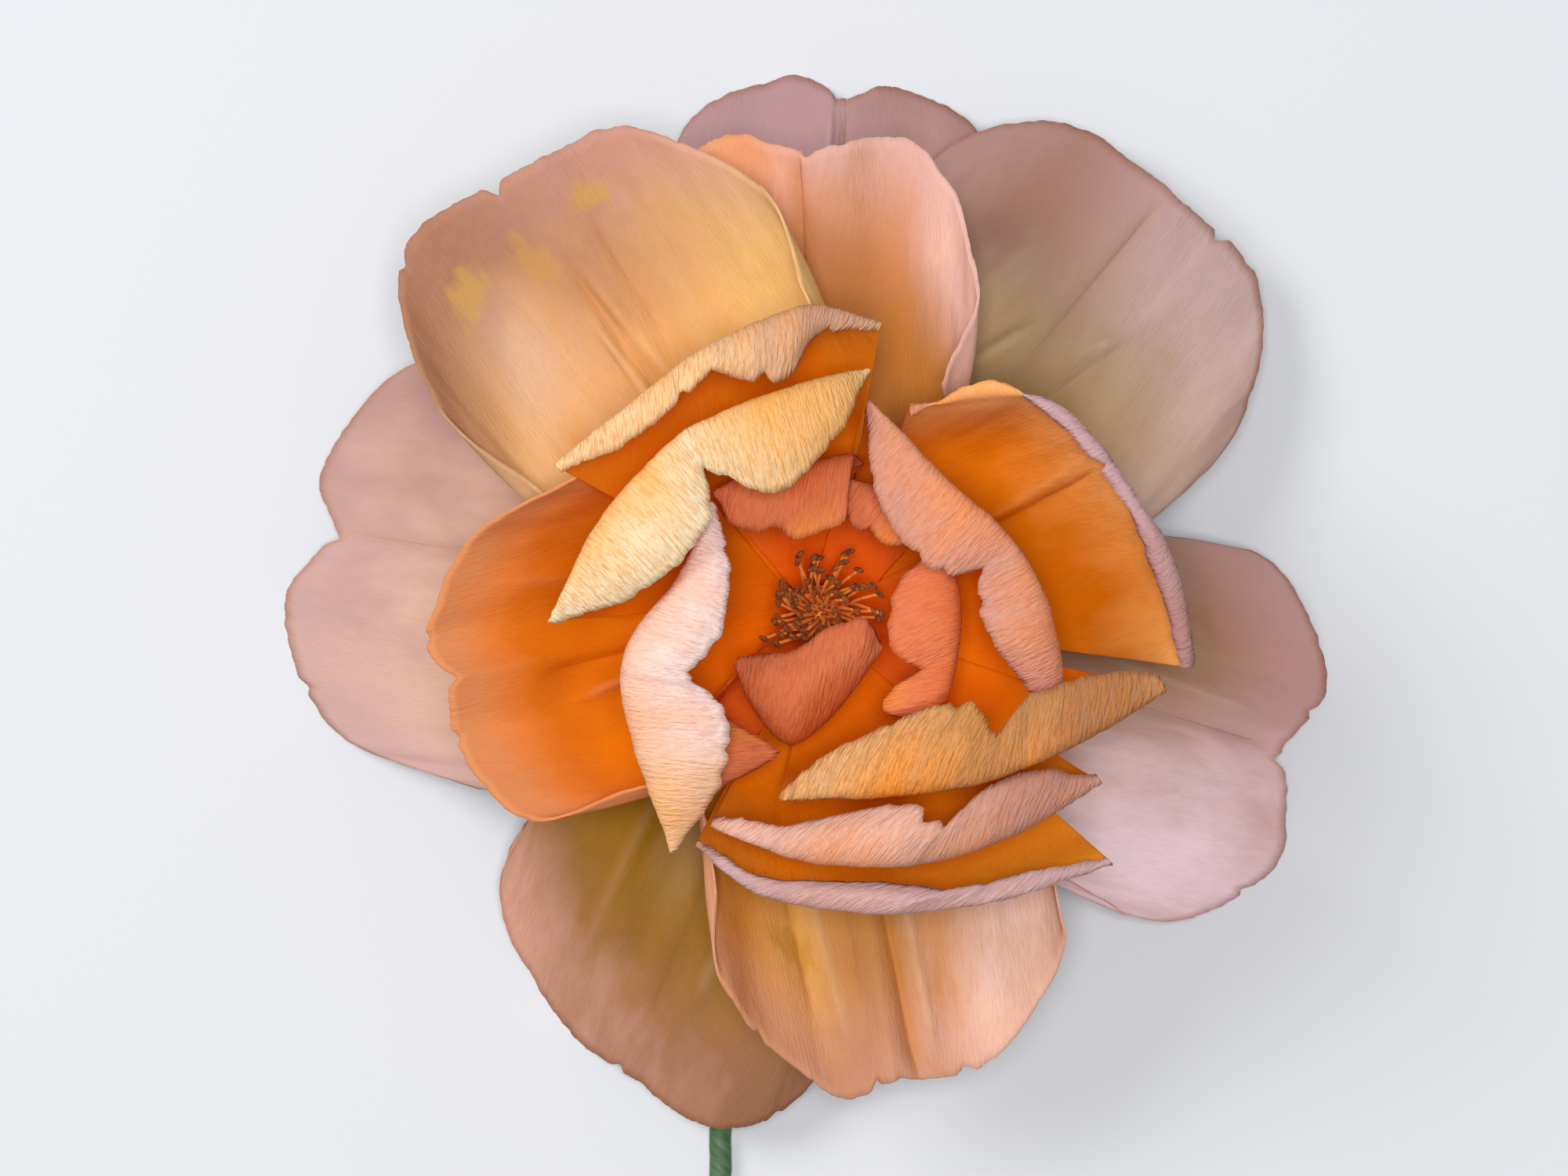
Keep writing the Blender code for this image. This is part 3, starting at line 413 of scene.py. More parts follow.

# Dye of each crepe: its colour at the claw, on the belly and at the rim, the colour of its streaks,
# and how strong they are. The streak colour is partly the dye's own and partly painted shade. Some
# dyes are darker in part as painted shade, where their petals lie in shade: the outer petals', most
# of all outer_petal_lower_left's, middle_petal_upper_left's rim and middle_petal_right's
DYES_AND_PAINTED_SHADE = {
    "coral_front": ("#fc6808", "#fa7828", "#ee8454", "#ea6020", 0.20),
    "coral_back": ("#fc6808", "#f87a2c", "#e48458", "#de5c28", 0.40),
    "centre_petal_front_back": ("#fc6808", "#e47434", "#d67850", "#c85828", 0.44),
    "orange_front": ("#ff7a04", "#ff8c0c", "#ffa42c", "#fc7c08", 0.16),
    "orange_back": ("#ff9428", "#fa9850", "#d8a08a", "#e08058", 0.50),
    "cup_petal_left_back": ("#ff9428", "#fcb478", "#fce6e2", "#f0bca4", 0.50),
    "cup_petal_upper_back": ("#ff9428", "#ffb03c", "#fdecc4", "#f0a848", 0.55),
    "cup_petal_top_back": ("#ff9428", "#ffb454", "#f8d4a0", "#e49448", 0.55),
    "cup_petal_lower_right_back": ("#ff8c18", "#ff941c", "#ecba80", "#c87828", 0.60),
    "cup_petal_lower_back": ("#ff9428", "#f8a05c", "#e8bcac", "#dc8c64", 0.50),
    "cup_petal_bottom_back": ("#ee8c38", "#e0a488", "#d4b0ae", "#b08484", 0.42),
    "middle_petal_right_back": ("#ee8c38", "#dca48c", "#d0aaac", "#a8868c", 0.42),
    # Darker orange in part as painted shade, where the cups shade this petal's inside
    "middle_petal_right": ("#d86600", "#d47000", "#f4ac5c", "#cc6c08", 0.14),
    "middle_petal_left": ("#ff9414", "#fc8a08", "#e09460", "#e87c14", 0.14),
    # Its mauve rim is darker in part as painted shade
    "middle_petal_upper_left": ("#f4ac40", "#e8b070", "#bc8a74", "#d8985c", 0.14),
    "middle_petal_lower": ("#ea8c08", "#d89030", "#e0a88c", "#cc8028", 0.16),
    "middle_petal_top": ("#d07810", "#d4883c", "#e4b4a8", "#cc8444", 0.14),
    # The outer petals' dyes, most of all outer_petal_lower_left's, are darker in part as painted
    # shade
    "outer_petal_upper_right": ("#a07c30", "#bca288", "#b48e88", "#b08c74", 0.10),
    "outer_petal_top": ("#b08450", "#bc9484", "#bc9698", "#b08878", 0.10),
    "outer_petal_left": ("#f0b878", "#e8bca0", "#d4aea6", "#cc9c88", 0.10),
    "outer_petal_lower_left": ("#9c6c10", "#ac782c", "#a47254", "#946428", 0.12),
    "outer_petal_right": ("#bc9060", "#cca08c", "#dab0ae", "#c49888", 0.10),
}

# The tint of an outer petal's cut edge and the painted highlight along a crease's ridge, how much
# further up a rolled petal's rim colour starts, and the softness below which a tint's border is
# ragged
CUT_EDGE_TINT = "#e09470"
CREASE_RIDGE_HIGHLIGHT = "#fbe2c4"
ROLLED_DYE_SHIFT = 0.10
RAGGED_BELOW = 0.4

# Tints laid over a dye, some of them the paper's own colour, some painted shade and some painted
# highlights, as noted at each: their colour, where the middle of each is as its places from side to
# side and from claw to rim, how far it spreads both ways, how much of the dye it covers, and how
# soft its border is
TINTS_AND_PAINTED_LIGHT = {
    "middle_petal_upper_left": (
        # Yellow of the paper, brightened as painted light where the petal curls into its own shade
        ("#ffd884", (0.10, 0.74), (0.18, 0.34), 0.95, 0.9),
        ("#ffd898", (0.92, 0.68), (0.14, 0.36), 0.95, 0.9),
        ("#dca294", (0.36, 1.02), (0.14, 0.13), 0.80, 0.7),
        # Painted highlight: a pale cream patch left of the middle
        ("#ecccb0", (0.64, 0.70), (0.07, 0.11), 0.60, 0.7),
        # Painted shade on the left side by the rim
        ("#a87458", (0.76, 0.95), (0.16, 0.14), 0.80, 0.8),
        ("#dcb040", (0.43, 0.90), (0.030, 0.026), 0.50, 0.35),
        ("#dcb040", (0.64, 0.86), (0.034, 0.034), 0.45, 0.35),
        ("#d8a83c", (0.545, 0.84), (0.018, 0.050), 0.40, 0.35),
    ),
    "middle_petal_left": (
        ("#e47a04", (0.50, 0.68), (0.45, 0.17), 0.85, 0.5),
        ("#d86804", (0.52, 0.52), (0.10, 0.12), 0.60, 0.6),
    ),
    "middle_petal_lower": (
        ("#d48418", (0.16, 0.56), (0.15, 0.40), 0.85, 0.8),
        # Painted highlight: a golden-pale streak on a pleat
        ("#e8b468", (0.33, 0.66), (0.06, 0.20), 0.75, 0.8),
        # Painted shade: a brown strip on the shaded side of the crease
        ("#b07840", (0.45, 0.66), (0.09, 0.28), 0.75, 0.8),
        ("#dca468", (0.72, 0.58), (0.24, 0.14), 0.75, 0.8),
        # Pale pink of the paper, with a painted highlight over it
        ("#ffdccc", (0.77, 0.80), (0.12, 0.16), 0.90, 0.9),
        ("#c08468", (0.38, 0.98), (0.16, 0.12), 0.65, 0.7),
        ("#c08828", (0.30, 0.72), (0.04, 0.04), 0.50, 0.25),
    ),
    "middle_petal_top": (
        ("#e89c68", (0.64, 0.84), (0.13, 0.28), 0.85, 0.7),
        ("#e8a87c", (0.88, 0.86), (0.13, 0.28), 0.80, 0.7),
        # Painted shade: an ochre zone beside the bright patch
        ("#c88448", (0.42, 0.66), (0.10, 0.22), 0.85, 0.8),
        # Painted highlight: a pale pink patch on the right half
        ("#f8cec0", (0.22, 0.86), (0.07, 0.14), 0.85, 0.8),
        ("#bc7c38", (0.14, 0.58), (0.18, 0.14), 0.85, 0.7),
        ("#b4783c", (0.00, 0.55), (0.05, 0.45), 0.80, 0.5),
    ),
    "middle_petal_right": (
        # Light peach near the rim, partly the paper's colour and partly painted light where the
        # petal lies in shade
        ("#ffb878", (0.80, 0.92), (0.22, 0.12), 0.80, 0.9),
        # Painted light: brighter orange where the petal's inside lies in shade
        ("#ff8c10", (0.90, 0.60), (0.16, 0.18), 0.80, 0.8),
    ),
    "outer_petal_upper_right": (
        ("#d0b09c", (0.20, 0.76), (0.16, 0.22), 0.75, 0.9),
        # Olive of the paper at the base, darkened in part as painted shade
        ("#987430", (0.42, 0.50), (0.22, 0.14), 0.75, 0.8),
        ("#c8b078", (0.58, 0.62), (0.07, 0.07), 0.50, 0.5),
        ("#dabcba", (0.39, 0.94), (0.11, 0.13), 0.85, 0.9),
        ("#a07460", (0.63, 0.80), (0.10, 0.16), 0.75, 0.9),
    ),
    # Painted shade on the right side
    "outer_petal_top": (("#a47a6c", (0.12, 0.80), (0.28, 0.40), 0.80, 0.6),),
    # Painted shade on the upper end
    "outer_petal_left": (("#b88e84", (0.20, 0.80), (0.26, 0.36), 0.80, 0.8),),
    "outer_petal_lower_left": (
        ("#e4ac98", (0.25, 1.00), (0.20, 0.14), 0.90, 0.9),
        ("#8c6008", (0.36, 0.46), (0.40, 0.20), 0.75, 0.8),
        # Painted highlight: a pale peach patch in the middle
        ("#c8a474", (0.45, 0.46), (0.06, 0.13), 0.60, 0.9),
    ),
    "outer_petal_right": (
        # Pale pink of the paper, brightened as painted light where the flower shades the lower lobe
        ("#ffe4ea", (0.27, 0.80), (0.20, 0.26), 0.95, 0.9),
        # Painted shadow on the upper part, cast by the petals above it
        ("#a87c6c", (0.80, 0.80), (0.22, 0.36), 0.75, 0.8),
        # Painted shadow in the middle, cast by the petals above it
        ("#ac7c50", (0.62, 0.66), (0.12, 0.20), 0.80, 0.8),
        ("#d0a09c", (0.67, 0.97), (0.13, 0.11), 0.85, 0.9),
    ),
    "middle_petal_right_back": (
        ("#b48074", (0.12, 1.00), (0.22, 0.50), 0.80, 0.8),
        ("#f0a468", (0.97, 1.00), (0.12, 0.50), 0.90, 0.5),
    ),
    "cup_petal_left_back": (("#fcb85c", (0.94, 0.86), (0.13, 0.40), 0.85, 0.8),),
    "cup_petal_upper_back": (("#eca850", (0.18, 0.92), (0.20, 0.40), 0.75, 0.8),),
    "cup_petal_top_back": (("#cc9c88", (0.20, 0.92), (0.22, 0.36), 0.80, 0.7),),
    "cup_petal_lower_right_back": (
        ("#b8783c", (0.44, 0.98), (0.16, 0.14), 0.60, 0.7),
        ("#a8704c", (0.84, 0.92), (0.26, 0.36), 0.85, 0.7),
    ),
    "cup_petal_lower_back": (("#b47c6c", (0.84, 0.92), (0.26, 0.40), 0.80, 0.7),),
    "coral_back": (("#f8a030", (0.30, 1.00), (0.10, 0.06), 0.40, 0.6),),
}

# The record's material slot for each layer of petals
SLOTS = {
    "coral": "coral_paper",
    "orange": "orange_paper",
    "apricot": "apricot_paper",
    "peach": "peach_paper",
}

# The sepals' and the calyx cup's fine grids, where the first sepal points, how a sepal's
# sides curl down, its crimp, and the cup's pleats: how many there are, how deep they are and
# how fast they drift on the way up
SEPAL_GRID = (31, 41)
SEPAL_HEADING = math.radians(55)
SEPAL_CURL = 0.18
SEPAL_CRIMP = 0.06 * MM
CALYX_STEPS = 36
CALYX_SIDES = 96
CALYX_PLEATS = 5
CALYX_PLEAT_DEPTH = 0.18 * MM
CALYX_PLEAT_DRIFT = 0.06

# The stamens as seen: count, thread and anther sizes, and the way that a thread bends
THREAD_COUNT = 84
THREAD_RADIUS = 0.20 * MM
ANTHER_RADIUS = 0.44 * MM
THREAD_LEAN = 0.66
THREAD_MIDDLE = (-0.08, 0.05, 0.55)
THREAD_TIP = (0.10, -0.02, 1.0)
ANTHER_SHAPE = (0.85, 0.75, 1.7)
GOLDEN_ANGLE = math.radians(137.5)

# The tape round the stem: its pitch, the step at each lap, its crinkle and its fine grid
TAPE_PITCH = 5.0 * MM
TAPE_STEP = 0.10 * MM
TAPE_CRINKLE = 0.04 * MM
TAPE_SPACING = 0.55 * MM
TAPE_SIDES = 28
TAPE_SLANT = 0.6

# The photograph's frame: width at the rims' height, camera height over the table, and the
# frame's middle from the flower's axis
FRAME_WIDTH = 180.2 * MM
RIM_HEIGHT = 53.0 * MM
CAMERA_HEIGHT = 600.0 * MM
CAMERA_ASIDE = -4.5 * MM
CAMERA_AHEAD = 2.7 * MM
SENSOR_WIDTH = 36.0
FLOOR_HALF = 1.5

# Soft studio lamps: name, place from the flower's axis, size and power, and the height over
# the table that they point at
LAMPS = (
    ("window", (-0.72, 0.40, 0.92), 0.50, 7.0),
    ("overhead", (0.0, 0.0, 1.10), 0.30, 9.2),
)
LAMP_AIM = 30.0 * MM


def linear(code):
    """An sRGB hex colour as linear RGBA."""
    parts = [int(code[at:at + 2], 16) / 255 for at in (1, 3, 5)]
    curved = [p / 12.92 if p <= 0.04045 else ((p + 0.055) / 1.055) ** 2.4 for p in parts]
    return (*curved, 1.0)


def add(tree, kind, settings=None, inputs=None, give=0):
    """Add a node with its settings, set or link its inputs, and give one of its outputs."""
    node = tree.nodes.new(kind)
    for name, value in (settings or {}).items():
        setattr(node, name, value)
    for key, value in (inputs or {}).items():
        for given in value if isinstance(value, list) else [value]:
            if isinstance(given, bpy.types.NodeSocket):
                tree.links.new(given, node.inputs[key])
            else:
                node.inputs[key].default_value = given
    return node.outputs[give] if node.outputs else None


def new_material(name):
    """An empty node material and its tree."""
    made = bpy.data.materials.new(name)
    made.use_nodes = True
    made.node_tree.nodes.clear()
    return made, made.node_tree


def tinted(tree, ground, layers):
    """A ground colour under tints, each laid on where its pattern rises from low to high.

    A Mix node keeps its colours in inputs 6 and 7, and gives the mixed one in output 2.
    """
    colour = linear(ground)
    for pattern, low, high, cover, tint in layers:
        share = add(tree, "ShaderNodeMapRange", None, {
            "Value": pattern, "From Min": low, "From Max": high, "To Max": cover})
        colour = add(tree, "ShaderNodeMix", {"data_type": "RGBA"}, {
            0: share, 6: colour, 7: linear(tint)}, 2)
    return colour


def paper_noise(tree, spacing, detail=2.0, shift=0.0):
    """Noise drawn out along the paper's grain, by its spacing across the grain and along it."""
    place = add(tree, "ShaderNodeUVMap", {"uv_map": "paper"})
    scale = (UV_UNIT / spacing[0], UV_UNIT / spacing[1], 1.0)
    place = add(tree, "ShaderNodeMapping", None, {
        "Vector": place, "Scale": scale, "Location": (shift, shift, 0.0)})
    return add(tree, "ShaderNodeTexNoise", {"noise_dimensions": "2D"}, {
        "Vector": place, "Scale": 1.0, "Detail": detail, "Roughness": 0.6}, "Fac")


def nearness(tree, middle, size, uneven):
    """How near the paper is to a place on its petal: 1 in the middle, 0.5 round the border."""
    side = add(tree, "ShaderNodeAttribute", {"attribute_name": "side"}, None, "Fac")
    reach = add(tree, "ShaderNodeAttribute", {"attribute_name": "reach"}, None, "Fac")
    offset = add(tree, "ShaderNodeCombineXYZ", None, {"X": side, "Y": reach})
    for operation, amount in (("SUBTRACT", (*middle, 0.0)), ("DIVIDE", (*size, 1.0))):
        offset = add(tree, "ShaderNodeVectorMath", {"operation": operation},
                     {0: offset, 1: amount})
    far = add(tree, "ShaderNodeVectorMath", {"operation": "LENGTH"}, {0: offset}, "Value")
    near = add(tree, "ShaderNodeMath", {"operation": "MULTIPLY_ADD"}, {0: far, 1: -0.5, 2: uneven})
    return add(tree, "ShaderNodeMath", {"operation": "ADD"}, {0: near, 1: 0.5})


def crepe_paper(name):
    """Florist's crepe paper, dyed through and pulled into shape.

    It is matt and lets light through. Short streaks run along the grain, partly the dye's own
    unevenness and partly painted shade in the crinkle's valleys, and the dye pales toward a
    stretched rim.
    A pressed crease gets painted shade in its valley and a painted highlight along its ridge. On a
    rolled petal the rim's colour starts further up, past the fold.
    """
    claw, belly, rim, streak, strength = DYES_AND_PAINTED_SHADE[name]
    made, tree = new_material(f"dyed_crepe_and_painted_light_{name}")
    reach = add(tree, "ShaderNodeAttribute", {"attribute_name": "reach"}, None, "Fac")
    mottle = paper_noise(tree, MOTTLE, detail=3.0, shift=3.0)
    uneven = add(tree, "ShaderNodeMath", {"operation": "MULTIPLY_ADD"},
                 {0: mottle, 1: 0.34, 2: reach})
    later = ROLLED_DYE_SHIFT if "cup_petal" in name or name == "orange_back" else 0.0
    layers = [
        (uneven, 0.32, 0.77, 1.0, belly),
        (uneven, 0.77 + later, 1.10 + later / 2, 1.0, rim),
    ]
    ragged = paper_noise(tree, FLECKS, detail=4.0, shift=5.0)
    # Tints at set places: the paper's own colours, and painted shade and painted highlights where
    # their table says so
    for tint, middle, size, cover, soft in TINTS_AND_PAINTED_LIGHT.get(name, ()):
        near = nearness(tree, middle, size, ragged if soft < RAGGED_BELOW else mottle)
        layers.append((near, 0.5 - soft / 2, 0.5 + soft / 2, cover, tint))
    if name in CREASES:
        pressed = add(tree, "ShaderNodeAttribute", {"attribute_name": "pressed"}, None, "Fac")
        # Painted shade in a crease's valley, in the streak colour, and a painted highlight along
        # its ridge
        layers += [(pressed, 0.15, 0.90, 0.40, streak), (pressed, -0.30, -1.20, 0.18, CREASE_RIDGE_HIGHLIGHT)]
    if name in OUTER_PETALS:
        layers.append((reach, 0.978, 1.0, 0.40, CUT_EDGE_TINT))
    # Streaks along the grain: partly the dye's own unevenness, partly painted shade in the
    # crinkle's valleys
    layers.append((paper_noise(tree, STREAKS), 0.46, 0.66, strength, streak))
    dye = tinted(tree, claw, layers)
    ridges = paper_noise(tree, RIDGES, shift=7.0)
    bump = add(tree, "ShaderNodeBump", None, {
        "Height": ridges, "Strength": 0.08 + 1.4 * strength, "Distance": 0.4 * MM})
    surface = add(tree, "ShaderNodeBsdfPrincipled", None, {
        "Base Color": dye, "Roughness": 0.86, "Specular IOR Level": 0.08, "Normal": bump})
    through = add(tree, "ShaderNodeBsdfTranslucent", None, {"Color": dye, "Normal": bump})
    sheet = add(tree, "ShaderNodeMixShader", None, {0: 0.22, 1: surface, 2: through})
    add(tree, "ShaderNodeOutputMaterial", None, {"Surface": sheet})
    return made


def green_crepe(name, dark, light):
    """Green florist's crepe: matt with a faint waxy sheen and fine pulled lines."""
    made, tree = new_material(name)
    grain = paper_noise(tree, (0.5 * MM, 5.0 * MM), detail=3.0)
    dye = tinted(tree, dark, [(grain, 0.35, 0.65, 1.0, light)])
    bump = add(tree, "ShaderNodeBump", None, {
        "Height": grain, "Strength": 0.5, "Distance": 0.3 * MM})
    surface = add(tree, "ShaderNodeBsdfPrincipled", None, {
        "Base Color": dye, "Roughness": 0.62, "Normal": bump})
    add(tree, "ShaderNodeOutputMaterial", None, {"Surface": surface})
    return made


def plain_finish(name, dark, light, pitch, roughness, metallic=0.0):
    """A small part's finish: two tones of one colour in fine grain, with a slight bump."""
    made, tree = new_material(name)
    place = add(tree, "ShaderNodeTexCoord", None, None, "Object")
    grain = add(tree, "ShaderNodeTexNoise", None, {
        "Vector": place, "Scale": 1 / pitch, "Detail": 3.0}, "Fac")
    tone = tinted(tree, dark, [(grain, 0.35, 0.65, 1.0, light)])
    bump = add(tree, "ShaderNodeBump", None, {
        "Height": grain, "Strength": 0.3, "Distance": 0.15 * MM})
    surface = add(tree, "ShaderNodeBsdfPrincipled", None, {
        "Base Color": tone, "Roughness": roughness, "Metallic": metallic, "Normal": bump})
    add(tree, "ShaderNodeOutputMaterial", None, {"Surface": surface})
    return made


def spline(points, share):
    """The point at a share of the way along a smooth curve through the points."""
    last = len(points) - 1
    place = min(max(share, 0.0), 1.0) * last
    index = min(int(place), last - 1)
    t = place - index
    start, end = points[index], points[index + 1]
    before = points[index - 1] if index > 0 else start * 2 - end
    after = points[index + 2] if index + 2 <= last else end * 2 - start
    return 0.5 * (
        start * 2
        + (end - before) * t
        + (before * 2 - start * 5 + end * 4 - after) * t * t
        + (start * 3 - before - end * 3 + after) * t * t * t
    )


def notched(points, share):
    """A smooth curve on either side of the middle point, which stays a sharp notch."""
    middle = len(points) // 2
    if share <= 0.5:
        return spline(points[: middle + 1], share * 2)
    return spline(points[middle:], share * 2 - 1)


def even_steps(points, count):
    """Points at even spacing along the smooth curve through the given points."""
    fine = [spline(points, step / RIB_STEPS) for step in range(RIB_STEPS + 1)]
    run = [0.0]
    for a, b in zip(fine, fine[1:]):
        run.append(run[-1] + (b - a).length)
    steps = []
    index = 0
    for step in range(count + 1):
        wanted = run[-1] * step / count
        while index < RIB_STEPS - 1 and run[index + 1] < wanted:
            index += 1
        span = run[index + 1] - run[index]
        steps.append(fine[index].lerp(fine[index + 1], (wanted - run[index]) / span))
    return steps


def in_metres(points):
    """The table's millimetre points as vectors in metres, at the flower's own width."""
    spread = FLOWER_WIDTH / DRAWN_WIDTH
    return [Vector((x * spread, y * spread, z)) * MM for x, y, z in points]


def rib_points(claw, claw_top, rim, fold):
    """The points that one rib of a petal runs through, from claw to rim."""
    if fold is None:
        belly = claw_top.lerp(rim, OPEN_BELLY_OUT)
        belly.z = claw_top.z + (rim.z - claw_top.z) * OPEN_BELLY_UP
        shoulder = claw_top.lerp(rim, OPEN_SHOULDER_OUT)
        shoulder.z = claw_top.z + (rim.z - claw_top.z) * OPEN_SHOULDER_UP
        return [claw, claw_top, belly, shoulder, rim]
    belly = claw_top.lerp(fold, CUP_BELLY_OUT)
    belly.z = claw_top.z + (fold.z - claw_top.z) * CUP_BELLY_UP
    crest = fold.lerp(rim, 0.5)
    crest.z = max(fold.z, rim.z) + (rim - fold).length * ROLL_RISE
    return [claw, claw_top, belly, fold, crest, rim]


def petal_grid(petal, claw_bottom, arch, rows, columns):
    """The middle surface of a petal, as rows from the claw to the rim."""
    rim = in_metres(petal["rim"])
    fold = in_metres(petal["fold"]) if "fold" in petal else None
    middle = notched(rim, 0.5) if fold is None else spline(fold, 0.5)
    heading = math.atan2(middle.y, middle.x)
    ribs = []
    for column in range(columns + 1):
        share = column / columns
        angle = heading + (share * 2 - 1) * CLAW_HALF_ANGLE
        claw = Vector((math.cos(angle), math.sin(angle), 0.0)) * CLAW_RADIUS
        claw.z = claw_bottom
        claw_top = claw * CLAW_FLARE
        claw_top.z = claw_bottom + (OPEN_CLAW_HEIGHT if fold is None else CUP_CLAW_HEIGHT)
        edge = notched(rim, share)
        bend = spline(fold, share) if fold else None
        points = rib_points(claw, claw_top, edge, bend)
        if fold is None:
            side = share * 2 - 1
            sideways = Vector((-math.sin(heading), math.cos(heading), 0.0))
            sag = OPEN_CUPPING * (1 - side * side)
            for point, weight in ((points[2], 1.0), (points[3], SHOULDER_SHARE)):
                point.z += (arch - sag) * weight
                point += sideways * OPEN_SIDE_BULGE * side * weight
        ribs.append(even_steps(points, rows))
    return [[rib[row] for rib in ribs] for row in range(rows + 1)]


def back_normals(grid):
    """Unit vectors out of the petal's back, one for each point of its grid."""
    rows, columns = len(grid) - 1, len(grid[0]) - 1
    normals = []
    for i in range(rows + 1):
        line = []
        for j in range(columns + 1):
            along = grid[min(i + 1, rows)][j] - grid[max(i - 1, 0)][j]
            across = grid[i][min(j + 1, columns)] - grid[i][max(j - 1, 0)]
            line.append(across.cross(along).normalized())
        normals.append(line)
    return normals


def grid_triangles(rows, columns):
    """Triangles over a grid whose points are numbered row by row, facing its back."""
    triangles = []
    for i in range(rows):
        for j in range(columns):
            a = i * (columns + 1) + j
            b, c, d = a + 1, a + columns + 2, a + columns + 1
            triangles += [(a, b, c), (a, c, d)]
    return triangles


def sheet_solid(grid, thickness):
    """Vertices and faces of the closed sheet with the grid as its middle surface."""
    rows, columns = len(grid) - 1, len(grid[0]) - 1
    normals = back_normals(grid)
    back, front = [], []
    for line, line_normals in zip(grid, normals):
        for point, normal in zip(line, line_normals):
            back.append(point + normal * thickness / 2)
            front.append(point - normal * thickness / 2)
    count = len(back)
    skin = grid_triangles(rows, columns)
    faces = list(skin)
    faces += [(c + count, b + count, a + count) for a, b, c in skin]
    edge = list(range(columns + 1))
    edge += [i * (columns + 1) + columns for i in range(1, rows + 1)]
    edge += [rows * (columns + 1) + j for j in range(columns - 1, -1, -1)]
    edge += [i * (columns + 1) for i in range(rows - 1, 0, -1)]
    for a, b in zip(edge, edge[1:] + edge[:1]):
        faces += [(b, a, a + count), (b, a + count, b + count)]
    return back + front, faces


def middle_tree(grid):
    """A search tree over a petal's middle surface."""
    points = [point for line in grid for point in line]
    return BVHTree.FromPolygons(points, grid_triangles(len(grid) - 1, len(grid[0]) - 1))


def push_needed(grid, normals, placed, fold_row, apart):
    """How far each point of a petal must move along its back to clear the inner petals."""
    columns = len(grid[0]) - 1
    need = [[0.0] * (columns + 1) for _ in grid]
    for _, inner_tree, _ in placed:
        for i, line in enumerate(grid):
            reach = ROLL_REACH if i > fold_row else WALL_REACH
            for j, point in enumerate(line):
                hit = inner_tree.ray_cast(point, normals[i][j], reach)
                if hit[0] is not None:
                    need[i][j] = max(need[i][j], hit[3] + apart)
                near = inner_tree.find_nearest(point, apart)
                if near[0] is not None:
                    need[i][j] = max(need[i][j], apart - near[3])
    tree = middle_tree(grid)
    for inner_grid, _, _ in placed:
        for line in inner_grid:
            for point in line:
                near = tree.find_nearest(point, WALL_REACH)
                if near[0] is None:
                    continue
                cell = near[2] // 2
                i, j = cell // columns, cell % columns
                offset = point - near[0]
                depth = offset.dot(normals[i][j])
                reach = ROLL_REACH if i > fold_row else WALL_REACH
                behind = depth > BEHIND_SHARE * near[3] and depth < reach
                if not behind and near[3] >= apart:
                    continue
                push = max(depth, 0.0) + apart if behind else apart - near[3]
                for row, column in ((i, j), (i, j + 1), (i + 1, j), (i + 1, j + 1)):
                    need[row][column] = max(need[row][column], push)
    return need


def spread(need, rounds):
    """Let the neighbours of a pushed point follow it, so that the sheet stays smooth."""
    rows, columns = len(need) - 1, len(need[0]) - 1
    moved = [list(line) for line in need]
    for _ in range(rounds):
        before = [list(line) for line in moved]
        for i in range(rows + 1):
            for j in range(columns + 1):
                around = (
                    before[max(i - 1, 0)][j]
                    + before[min(i + 1, rows)][j]
                    + before[i][max(j - 1, 0)]
                    + before[i][min(j + 1, columns)]
                )
                moved[i][j] = max(need[i][j], around / 4)
    return moved


def ease_directions(grid, is_open):
    """The way each point of a petal is eased: out along its back, and flat at the claw.

    An open petal is eased down and a little outward, below the petals that lie on it.
    """
    directions = back_normals(grid)
    for i, line in enumerate(grid):
        outward = [Vector((point.x, point.y, 0.0)).normalized() for point in line]
        if is_open:
            directions[i] = [(way * OPEN_EASE_OUT - Z_AXIS).normalized() for way in outward]
        elif i < CLAW_ROWS:
            directions[i] = outward
    return directions


def eased(grid, directions, need):
    """The grid with each point moved along its direction by what it needs."""
    moved = spread(need, FOLLOW_ROUNDS)
    return [
        [point + way * move for point, way, move in zip(*lines)]
        for lines in zip(grid, directions, moved)
    ]


def touching_points(grid, placed):
    """A push for each point of the grid whose sheet still cuts into an inner petal's sheet."""
    vertices, faces = sheet_solid(grid, PAPER + CLEARANCE)
    sheet = BVHTree.FromPolygons(vertices, faces)
    columns = len(grid[0])
    need = [[0.0] * columns for _ in grid]
    for _, _, inner_sheet in placed:
        for face, _ in sheet.overlap(inner_sheet):
            for vertex in faces[face]:
                place = vertex % (len(grid) * columns)
                need[place // columns][place % columns] = CLEARANCE
    return need


def lay_clear(grid, placed, fold_row):
    """Ease a petal out along its back until it clears every petal laid before it."""
    apart = PAPER + CLEARANCE + FACET_ALLOWANCE
    directions = ease_directions(grid, fold_row > len(grid))
    for _ in range(EASE_ROUNDS):
        need = push_needed(grid, directions, placed, fold_row, apart)
        if max(max(line) for line in need) < EASED_ENOUGH:
            break
        need = [[min(push, EASE_STEP) for push in line] for line in need]
        grid = eased(grid, directions, need)
    for _ in range(EASE_ROUNDS):
        need = touching_points(grid, placed)
        if max(max(line) for line in need) == 0.0:
            break
        grid = eased(grid, directions, need)
    return grid


def laid(grid):
    """A petal as later ones need it: its grid, a tree of its middle and one of its sheet."""
    return grid, middle_tree(grid), BVHTree.FromPolygons(*sheet_solid(grid, PAPER))


